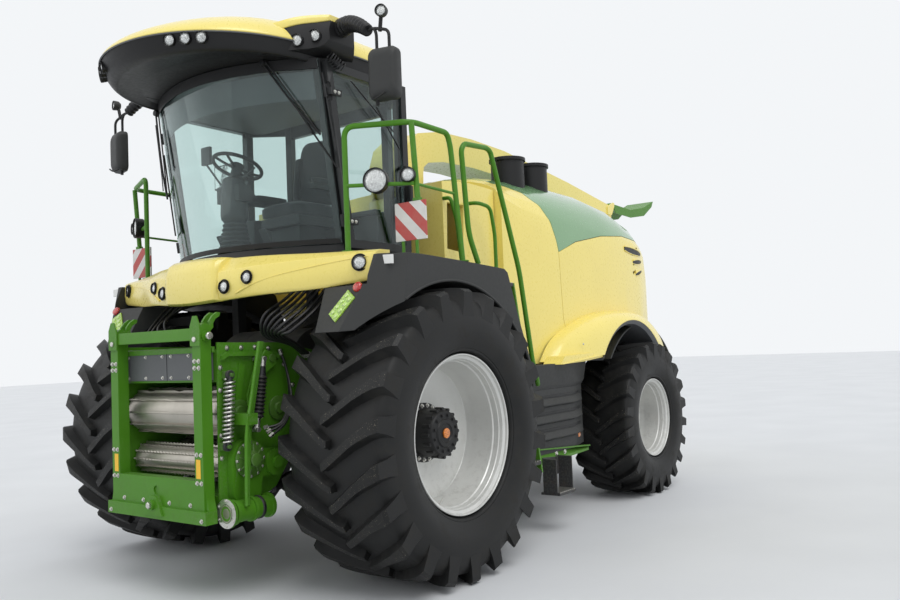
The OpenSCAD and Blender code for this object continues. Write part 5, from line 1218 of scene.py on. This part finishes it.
arm_rests = piece("driver_seat_armrests", "chassis", ("fabric", rest, rest_right), slot="seat_fabric")
base = [box((-0.31, -0.19, 2.402), (0.07, 0.19, 2.45)), box((-0.34, -0.225, 2.66), (0.10, 0.225, 2.735)),
        box((-0.27, -0.15, 2.45), (0.02, 0.15, 2.66)), box((-0.30, -0.44, 2.402), (-0.20, -0.33, 2.90)),
        prism([(-0.30, 2.90), (0.20, 2.90), (0.255, 2.95), (0.26, 3.02), (0.16, 3.03), (0.08, 2.945),
               (-0.30, 2.945)], -0.475, -0.295), rod(at(-0.20, 0.31, 2.90), at(-0.30, 0.31, 3.0), 0.02),
        prism([(-0.30, 2.94), (0.03, 2.94), (0.03, 2.985), (-0.30, 2.985)], 0.285, 0.335)]
stick = [rod(at(0.18, -0.385, 3.02), at(0.20, -0.385, 3.10), 0.014, 14, 0.010),
         moved(cushion((-0.028, -0.026, 0), (0.028, 0.026, 0.085), 0.01, 0.002),
               Matrix.Translation(at(0.20, -0.385, 3.085)) @ Matrix.Translation(-at(0, 0, 0)))]
screens = [prism([(-0.60, 3.02), (-0.34, 3.02), (-0.34, 3.22), (-0.60, 3.22)], 0.24, 0.27, "yz"),
           rod(at(0.25, -0.45, 3.00), at(0.255, -0.47, 3.10), 0.015)]
piece("driver_seat_base_and_console", "chassis", ("interior", *base), ("black", *stick, *screens),
      ("chrome", prism([(-0.59, 3.03), (-0.35, 3.03), (-0.35, 3.21), (-0.59, 3.21)], 0.2705, 0.2725, "yz")),
      bevel=0.006)
wheel_low = at(0.560, 0, 2.99)
spin = Matrix.Rotation(math.radians(-22), 3, "Y")
hub_axis = spin @ Vector(UP)
wheel_centre = wheel_low + hub_axis * 0.11
rim_path = [wheel_centre + spin @ Vector((0.19 * math.cos(a), 0.19 * math.sin(a), 0))
            for a in (2 * math.pi * k / 48 for k in range(49))]
spokes = [tube([wheel_centre + spin @ Vector((0.04 * math.cos(a), 0.04 * math.sin(a), -0.02)),
                wheel_centre + spin @ Vector((0.12 * math.cos(a), 0.12 * math.sin(a), -0.012)),
                wheel_centre + spin @ Vector((0.185 * math.cos(a), 0.185 * math.sin(a), 0))], 0.011, 10,
               per=4) for a in (0.4, 2.75, 3.53, 5.9)]
boot = [(0, 0.0), (0.135, 0.0)]
for k in range(7):
    boot += [(0.130 - 0.006 * k, 0.02 + 0.034 * k), (0.108 - 0.005 * k, 0.037 + 0.034 * k)]
boot += [(0.10, 0.27), (0.105, 0.30), (0.100, 0.42), (0.082, 0.58), (0.05, 0.60), (0, 0.60)]
column = [turned(boot, at(0.560, 0, 2.402), UP, 40), rod(wheel_low, wheel_centre, 0.036),
          turned([(0, -0.03), (0.04, -0.03), (0.052, 0.0), (0.045, 0.018), (0, 0.024)], wheel_centre,
                 hub_axis, 32), box((0.50, -0.13, 2.80), (0.62, 0.13, 2.93)),
          tube([at(0.56, 0.05, 2.96), at(0.545, 0.18, 3.02), at(0.535, 0.22, 3.05)], 0.009, 8, per=4),
          box((0.60, -0.30, 3.13), (0.63, -0.20, 3.27)),
          rod(at(0.615, -0.25, 3.13), at(0.60, -0.10, 2.95), 0.008)]
pedal_place = Matrix.Translation((0.42, 0, 2.44)) @ Matrix.Translation((AXLE_X, 0, 0))
pedal_place = pedal_place @ Matrix.Rotation(0.5, 4, "Y") @ Matrix.Translation((-AXLE_X, 0, 0))
pedals = [moved(box((-0.01, y, 0), (0.01, y + 0.08, 0.16)), pedal_place) for y in (-0.30, 0.20)]
piece("steering_column_and_wheel", "chassis", ("interior", *column, *pedals),
      ("black", tube(rim_path, 0.0145, 14), *spokes), bevel=0.003, replaces="steering_column")
trim = [box((-0.56, -0.54, 2.402), (-0.49, 0.54, 2.75)),
        prism([(-0.55, 2.75), (-0.44, 2.75), (-0.48, 2.80), (-0.55, 2.80)], -0.53, 0.53),
        box((-0.46, -0.86, HEAD), (0.55, 0.86, 3.70)), box((-0.2, 0.25, 3.60), (0.35, 0.75, HEAD)),
        box((-0.34, -0.88, 2.402), (-0.10, -0.55, 2.80))]
piece("cab_lining", "chassis", ("interior", *trim), bevel=0.01)


# Fenders over the front wheels
def beyond(point, normal, size=1.2):
    """A block that fills the space beyond a plane."""
    n = Vector(normal).normalized()
    u = n.orthogonal().normalized() * size
    v = n.cross(u)
    return loft([[Vector(point) + u * a + v * b + n * w for a, b in ((-1, -1), (1, -1), (1, 1), (-1, 1))]
                 for w in (0, size)])


FRONT_AXLE_Z = 1.020


def fender(s):
    """A front fender: a flat deck over the tyre, a wedge with its marker lamps, and the rear drop."""
    outline = [(0.35, 1.790), (1.0, 1.740), (1.0, 2.262), (0.340, 2.258), (-0.120, 2.238), (-0.660, 2.207),
               (-0.705, 2.180), (-0.850, 1.800), (-0.992, 1.480), (-0.985, 1.455), (-0.940, 1.440),
               (-0.60, 1.70)]
    wheel_room = turned([(0, -1.0), (1.068, -1.0), (1.068, 1.0), (0, 1.0)], at(0, s * 1.3, FRONT_AXLE_Z),
                        LEFT, 96)
    face = Vector((0.905, -0.07 * s, 0.42)).normalized()
    corner = at(0.80, s * 1.36, 1.835)
    under = side_prism([(0.36, 2.06), (0.90, 2.06), (0.90, 2.40), (0.36, 2.40)], s, 0.9, 1.456)
    cuts = (wheel_room, beyond(corner, face), beyond(corner, (0.79, 0.60 * s, 0.14)), under,
            beyond(at(0.70, s * 1.065, 1.9), (0.25, -0.96 * s, 0.0), 0.9))
    body = carved(side_prism(outline, s, 0.970, 1.660), *[("DIFFERENCE", cut) for cut in cuts])
    arch = [math.radians(60 + 95 * k / 40) for k in range(41)]
    edge = tube([at(0, s * 1.654, FRONT_AXLE_Z) + spoke(a) * 1.072 for a in arch], 0.012, 8)
    deck = [box((-0.62 + 0.11 * k, min(s * 1.0, s * 1.62), 2.209 + 0.0035 * k),
                (-0.56 + 0.11 * k, max(s * 1.0, s * 1.62), 2.2165 + 0.0035 * k)) for k in range(8)]
    side = Vector((0, s, 0))
    side = (side - face * side.dot(face)).normalized()
    rise = Vector((-face.z, 0, face.x)).normalized()
    rise = (rise - face * rise.dot(face)).normalized()
    slant = (rise * 0.80 + side * 0.60).normalized()
    cross = face.cross(slant)
    middle = at(0.763, s * 1.295, 1.925)
    middle = middle - face * (middle - corner).dot(face)
    plate = [[middle + slant * u * 0.105 + cross * v * 0.054 + face * w
              for u, v in ((-1, -1), (1, -1), (1, 1), (-1, 1))] for w in (-0.02, 0.010)]
    cells = [turned([(0, 0.008), (0.018, 0.008), (0.016, 0.016), (0, 0.020)],
                    middle + slant * (i - 1.5) * 0.048 + cross * (j - 0.5) * 0.048, face, 20)
             for i in range(4) for j in range(2)]
    red_place = at(0.70, s * 1.395, 2.04)
    red = turned([(0, -0.01), (0.036, -0.01), (0.036, 0.010), (0.028, 0.018), (0, 0.023)],
                 red_place - face * (red_place - corner).dot(face), face, 28)
    return [("plastic", body), ("plastic", edge), ("black", *deck), ("marker", loft(plate)),
            ("lamp_green", *cells), ("red", red)]


for s, hand in SIDES:
    piece(f"front_fender_{hand}", "chassis", *fender(s), bevel=0.014, segments=3, replaces=f"fender_{hand}",
          slot="dark_plastic")
plates = [prism([(s * 1.505, 2.190), (s * 1.61, 2.185), (s * 1.61, 2.245), (s * 1.505, 2.250)][::s], 0.585,
                0.600, "yz") for s in (1, -1)]
piece("blank_plates_on_fenders", "chassis", ("white", *plates), bevel=0.003, slot="lamp")


# Ladder, landing and handrails
def rail(path, r=0.020, radius=0.09):
    return tube(bent([at(*p) for p in path], radius, 8), r, 16)


RAIL_Y, INNER_Y = 1.62, 1.17
long_rail = [(-0.369, RAIL_Y, 2.234), (-0.262, RAIL_Y, 2.446), (-0.210, RAIL_Y, 3.061),
             (-0.250, RAIL_Y, 3.115), (-0.570, 1.600, 3.140), (-0.625, 1.600, 3.120),
             (-0.968, 1.600, 2.216), (-1.116, 1.600, 1.451), (-1.160, 1.605, 1.330), (-1.240, 1.560, 1.290)]
inner_rails = (
    [(-0.650, 1.112, 2.825), (-0.640, 1.190, 2.820), (-0.700, 1.200, 2.640), (-0.760, 1.200, 2.180)],
    [(-0.960, 1.112, 2.815), (-0.960, 1.230, 2.810), (-1.117, 1.250, 2.787), (-1.170, 1.250, 2.560),
     (-1.170, 1.250, 2.180)],
)
treads, tread_tops = [], []
for k in range(6):
    z = 0.62 + 0.30 * k
    y = 1.50 - 0.040 * k
    treads.append(box((-1.345, y - 0.16, z), (-1.105, y, z + 0.028)))
    tread_tops += [box((-1.34 + 0.04 * j, y - 0.155, z + 0.028), (-1.325 + 0.04 * j, y - 0.005, z + 0.034))
                   for j in range(6)]
stringers = [prism([(1.50, 0.55), (1.40, 0.55), (1.20, 2.15), (1.30, 2.15)], x, x + 0.018, "yz")
             for x in (-1.365, -1.10)]
landing = [box((-1.170, 1.115, 2.150), (-0.724, 1.300, 2.180))]
landing_grip = [box((-1.16 + 0.05 * k, 1.13, 2.180), (-1.135 + 0.05 * k, 1.29, 2.186)) for k in range(9)]
foot = [prism([(-2.410, 0.605), (-1.610, 0.575), (-1.440, 0.575), (-1.440, 0.725), (-2.410, 0.655)], 1.3685,
              1.384), prism([(-2.410, 0.643), (-1.440, 0.713), (-1.440, 0.725), (-2.410, 0.655)], 1.384,
                            1.402), box((-1.47, 1.34, 0.60), (-1.10, 1.384, 0.66)),]
step_ends = [prism([(x, 0.63), (x, 0.34), (x + 0.012, 0.34), (x + 0.012, 0.63)], 1.3845, 1.520)
             for x in (-1.830, -1.560)]
step_ends.append(prism([(-1.83, 0.47), (-1.55, 0.47), (-1.55, 0.64), (-1.83, 0.62)], 1.3845, 1.392))
steps = [box((-1.83, 1.36, 0.325), (-1.548, 1.545, 0.345))]
step_tops = [box((-1.82 + 0.034 * k, 1.365, 0.345), (-1.803 + 0.034 * k, 1.540, 0.353)) for k in range(8)]
green_tubes = [rail(long_rail)] + [rail(p, 0.016, 0.06) for p in inner_rails]
foot_bolts = bolts([at(x, 1.384, 0.645) for x in (-1.95, -1.80)], LEFT, 0.015)
piece("ladder_and_handrails", "chassis", ("green", *green_tubes, *stringers, *landing, *foot),
      ("zinc", *tread_tops, *step_tops, *landing_grip), ("chassis", *treads, *steps, *step_ends),
      ("zinc", foot_bolts), bevel=0.002, replaces="ladder")


def platform_rail(s):
    main = [(0.546, INNER_Y, 2.306), (0.546, INNER_Y, 3.177), (0.361, RAIL_Y, 3.165), (-0.046, RAIL_Y, 3.158),
            (-0.078, RAIL_Y, 3.060), (-0.173, RAIL_Y, 2.240)]
    shapes = [rail(main, radius=0.08), rod(at(0.361, RAIL_Y, 3.160), at(0.323, RAIL_Y, 2.642), 0.020),
              rod(at(0.551, INNER_Y, 2.763), at(0.366, RAIL_Y, 2.741), 0.015),
              rod(at(0.333, RAIL_Y, 2.741), at(-0.131, RAIL_Y, 2.725), 0.010),
              box((0.305, 1.594, 2.6255), (0.345, 1.646, 2.647))]
    shapes += [rod(at(0.335, y, 2.259), at(0.335, y, 2.36), 0.012, 12) for y in (1.49, 1.61)]
    shapes += [turned([(0, 0), (0.045, 0), (0.045, 0.008), (0.022, 0.012), (0, 0.012)], at(x, y, z), UP, 24)
               for x, y, z in ((0.546, INNER_Y, 2.3055), (-0.173, RAIL_Y, 2.2375))]
    shape = joined(*shapes)
    return shape if s > 0 else mirrored(shape)


piece("platform_rail_tubes", "chassis", ("green", platform_rail(1), platform_rail(-1)), bevel=0.0015,
      replaces="platform_rails")


# Rear fenders with their arch lips
def rear_fender(s):
    """A flared fender: a bowed shell that stands off the body, with a grey lip round the wheel."""
    crest = [(-1.82, 1.455), (-2.05, 1.66), (-2.55, 1.84), (-3.05, 1.92), (-3.55, 1.915), (-3.95, 1.82),
             (-4.24, 1.62), (-4.33, 1.36)]
    crest = [Vector((x, 0, z)) for x, z in smoothed(crest, 6)]
    middle = Vector((-3.29, 0, 1.02))
    arch = [Vector((0.83 * math.cos(a), 0, 0.80 * math.sin(a)))
            for a in (math.radians(33 + 120 * k / 42) for k in range(43))]
    rings = []
    for k, out in enumerate(arch):
        c = crest[round(k * (len(crest) - 1) / 42)]
        low = middle + out if k else Vector((-1.80, 0, 1.430))
        span = [(0.0, 1.262), (0.04, 1.345), (0.14, 1.405), (0.45, 1.465), (0.90, 1.500), (1.0, 1.500)]
        outer = [at(*((c * (1 - t) + low * t) + Vector((0, s * y, 0)))) for t, y in span]
        inner = [at(*((c * (1 - t) + low * t) + Vector((0, s * (y - 0.02), 0)))) for t, y in reversed(span)]
        rings.append(outer + inner)
    fore = [(-1.78, 1.430), (-1.86, 1.50), (-2.59, 1.52), (-2.60, 1.468), (-2.20, 1.440)]
    lips = []
    for out in arch:
        lips.append([at(*(middle + out * r + Vector((0, s * y, 0))))
                     for r, y in ((1.004, 1.502), (0.955, 1.475), (0.945, 1.10), (0.975, 1.10),
                                  (1.0, 1.46))])
    catch = turned([(0, 0), (0.011, 0), (0.009, 0.006), (0, 0.007)], at(-2.23, s * 1.475, 1.60), (0, s, 0),
                   16)
    return [("yellow", loft(rings)), ("yellow", side_prism(fore, s, 1.30, 1.485)),
            ("grey_plastic", loft(lips)), ("zinc", catch)]


for s, hand in SIDES:
    piece(f"rear_fender_shell_{hand}", "chassis", *rear_fender(s), bevel=0.006, segments=3, angle=40,
          replaces=f"rear_fender_{hand}")


# Lower panels with a flared top, louvres, black strips of painted shade in their slot openings, and a
# reflector
def lower_panel(s):
    plan = [(-2.56, 1.255), (-2.14, 1.385), (-1.42, 1.385), (-1.42, 1.345), (-2.13, 1.345), (-2.55, 1.215)]
    shapes = [prism([(x, s * y) for x, y in plan][::s], 0.660, 1.438, "xy")]
    top = [(-2.62, 1.290), (-2.03, 1.425), (-1.42, 1.425), (-1.42, 1.36), (-2.03, 1.36), (-2.60, 1.225)]
    fold = [(x - 0.02 * (x < -2), y + 0.022 * (i < 3)) for i, (x, y) in enumerate(plan)]
    levels = ((plan, 1.215), (fold, 1.262), (top, 1.438))
    shapes.append(loft([[at(x, s * y, z) for x, y in ring] for ring, z in levels]))
    for z in (1.075, 0.930, 0.785):
        rings = []
        for x, y, k in ((-2.46, 1.288, 0.35), (-2.42, 1.300, 1), (-2.14, 1.387, 1), (-1.80, 1.387, 1),
                        (-1.42, 1.387, 1)):
            rings.append([at(x, s * (y - 0.012), z - 0.02), at(x, s * (y + 0.030 * k), z),
                          at(x, s * (y + 0.034 * k), z + 0.010), at(x, s * (y + 0.004), z + 0.062),
                          at(x, s * (y - 0.012), z + 0.062)])
        shapes.append(loft(rings))
    # Black strips proud of the panel above each louvre: painted shade where the slot openings are.
    slots = []
    for z in (1.145, 1.000, 0.855):
        slots.append(loft([[at(x, s * (y - 0.01), z), at(x, s * (y + 0.0035), z),
                            at(x, s * (y + 0.0035), z + 0.020), at(x, s * (y - 0.01), z + 0.020)]
                           for x, y in ((-2.44, 1.2905), (-2.14, 1.3855), (-1.42, 1.3855))]))
    reflector = turned([(0, -0.004), (0.024, -0.004), (0.024, 0.006), (0.019, 0.010), (0, 0.011)],
                       at(-2.33, s * 1.328, 0.755), (-0.28, s * 0.96, 0), 28)
    return [("plastic", *shapes), ("black", *slots), ("amber", reflector)]


for s, hand in SIDES:
    piece(f"lower_panel_{hand}", "chassis", *lower_panel(s), bevel=0.006, replaces="lower_panels" if s > 0
          else (), slot="dark_plastic")


# Air slots in their recesses near the side panels' rear edges: black inlays over the panels' openings are
# painted shade of the hollow behind each slot, under yellow rims
def vents(s):
    dark, rims = [], []
    for x0, x1, z0, z1, h in ((-3.72, -4.28, 2.615, 2.585, 0.060), (-3.96, -4.26, 2.480, 2.500, 0.044),
                              (-4.03, -4.26, 2.345, 2.395, 0.036)):
        rings, frames = [], []
        for k in range(13):
            t = k / 12
            x, z = along(x0, x1, t), along(z0, z1, t)
            y = body_side(x, z) + 0.004
            tall = h * math.sin(math.pi * (0.10 + 0.86 * t)) ** 0.5
            rings.append([at(x, s * (y - 0.02), z - tall / 2), at(x, s * y, z - tall / 2),
                          at(x, s * y, z + tall / 2), at(x, s * (y - 0.02), z + tall / 2)])
            frames.append((at(x, s * (y - 0.001), z - tall / 2 - 0.006),
                           at(x, s * (y - 0.001), z + tall / 2 + 0.006)))
        # This black block fills the panel's opening: painted shade of the hollow behind the slot.
        dark.append(loft(rings))
        rims.append(tube([f[1] for f in frames], 0.008, 8))
        rims.append(tube([f[0] for f in frames], 0.005, 8))
    return joined(*dark), joined(*rims)


def body_side(x, z):
    """The side panel's y at a place, from its two neighbouring sections."""
    rows = [(-3.200, 1.265, 2.520, 3.290), (-3.700, 1.255, 2.500, 3.235), (-4.150, 1.215, 2.450, 3.130),
            (-4.450, 1.150, 2.390, 3.010)]
    for a, b in zip(rows, rows[1:]):
        if x >= b[0]:
            break
    t = (a[0] - x) / (a[0] - b[0])
    wide, belt, top = (along(a[i], b[i], t) for i in (1, 2, 3))
    rise = min(max((z - belt) / (top - belt), 0), 1)
    return wide * (1 - rise ** 2.8) ** (1 / 2.8)


shapes = [vents(s) for s in (1, -1)]
piece("side_vents_painted_shade", "chassis", ("black", *(a for a, b in shapes)), ("yellow", *(b for a, b in shapes)),
      bevel=0.001)


# Stage
def stage():
    floor = bpy.data.objects.new("floor", mesh_of("floor", ("floor", loft(
        [[Vector((x, y, 0)) for x in (-60, 60)] for y in (-60, 60)], caps=False, loop=False))))
    bpy.context.scene.collection.objects.link(floor)
    world = bpy.data.worlds.new("studio")
    bpy.context.scene.world = world
    world.use_nodes = True
    tree = world.node_tree
    light, shown, mix = (tree.nodes[n] if n in tree.nodes else tree.nodes.new(n)
                         for n in ("Background", "ShaderNodeBackground", "ShaderNodeMixShader"))
    path = tree.nodes.new("ShaderNodeLightPath")
    most, more = (tree.nodes.new("ShaderNodeMath") for _ in range(2))
    light.inputs["Color"].default_value = (0.93, 0.96, 1.0, 1)
    light.inputs["Strength"].default_value = 0.72
    shown.inputs["Color"].default_value = (0.90, 0.92, 0.94, 1)
    shown.inputs["Strength"].default_value = 1.0
    most.operation = more.operation = "MAXIMUM"
    links = tree.links
    links.new(path.outputs["Is Camera Ray"], most.inputs[0])
    links.new(path.outputs["Is Glossy Ray"], most.inputs[1])
    links.new(most.outputs[0], more.inputs[0])
    links.new(path.outputs["Is Transmission Ray"], more.inputs[1])
    links.new(more.outputs[0], mix.inputs[0])
    links.new(light.outputs[0], mix.inputs[1])
    links.new(shown.outputs[0], mix.inputs[2])
    links.new(mix.outputs[0], tree.nodes["World Output"].inputs["Surface"])
    for name, way, strength, spread in (("key", (0.35, 0.75, 1.3), 1.25, 38),
                                        ("fill", (1.0, -0.9, 0.7), 0.35, 60)):
        sun = bpy.data.lights.new(name, "SUN")
        sun.energy, sun.angle = strength, math.radians(spread)
        o = bpy.data.objects.new(name, sun)
        o.rotation_mode = "QUATERNION"
        o.rotation_quaternion = Vector(way).to_track_quat("Z", "Y")
        bpy.context.scene.collection.objects.link(o)


def camera():
    """The photograph's view: place, heading, pitch and roll, and a lens for a 36 mm wide frame."""
    place = Vector((7.586, 5.170, 1.629))
    yaw, pitch, roll = (math.radians(a) for a in (216.58, 3.14, -2.37))
    ahead = Vector((math.cos(yaw) * math.cos(pitch), math.sin(yaw) * math.cos(pitch), math.sin(pitch)))
    right = Vector((math.sin(yaw), -math.cos(yaw), 0))
    up = right.cross(ahead)
    r, u = right * math.cos(roll) + up * math.sin(roll), up * math.cos(roll) - right * math.sin(roll)
    data = bpy.data.cameras.new("camera")
    data.sensor_width, data.lens = 36, 33.84
    data.clip_end = 300
    o = bpy.data.objects.new("camera", data)
    turn = Matrix((r, u, -ahead)).transposed().to_4x4()
    o.matrix_world = Matrix.Translation(place) @ turn
    bpy.context.scene.collection.objects.link(o)
    bpy.context.scene.camera = o


stage()
camera()
bpy.context.scene.view_settings.view_transform = "Standard"
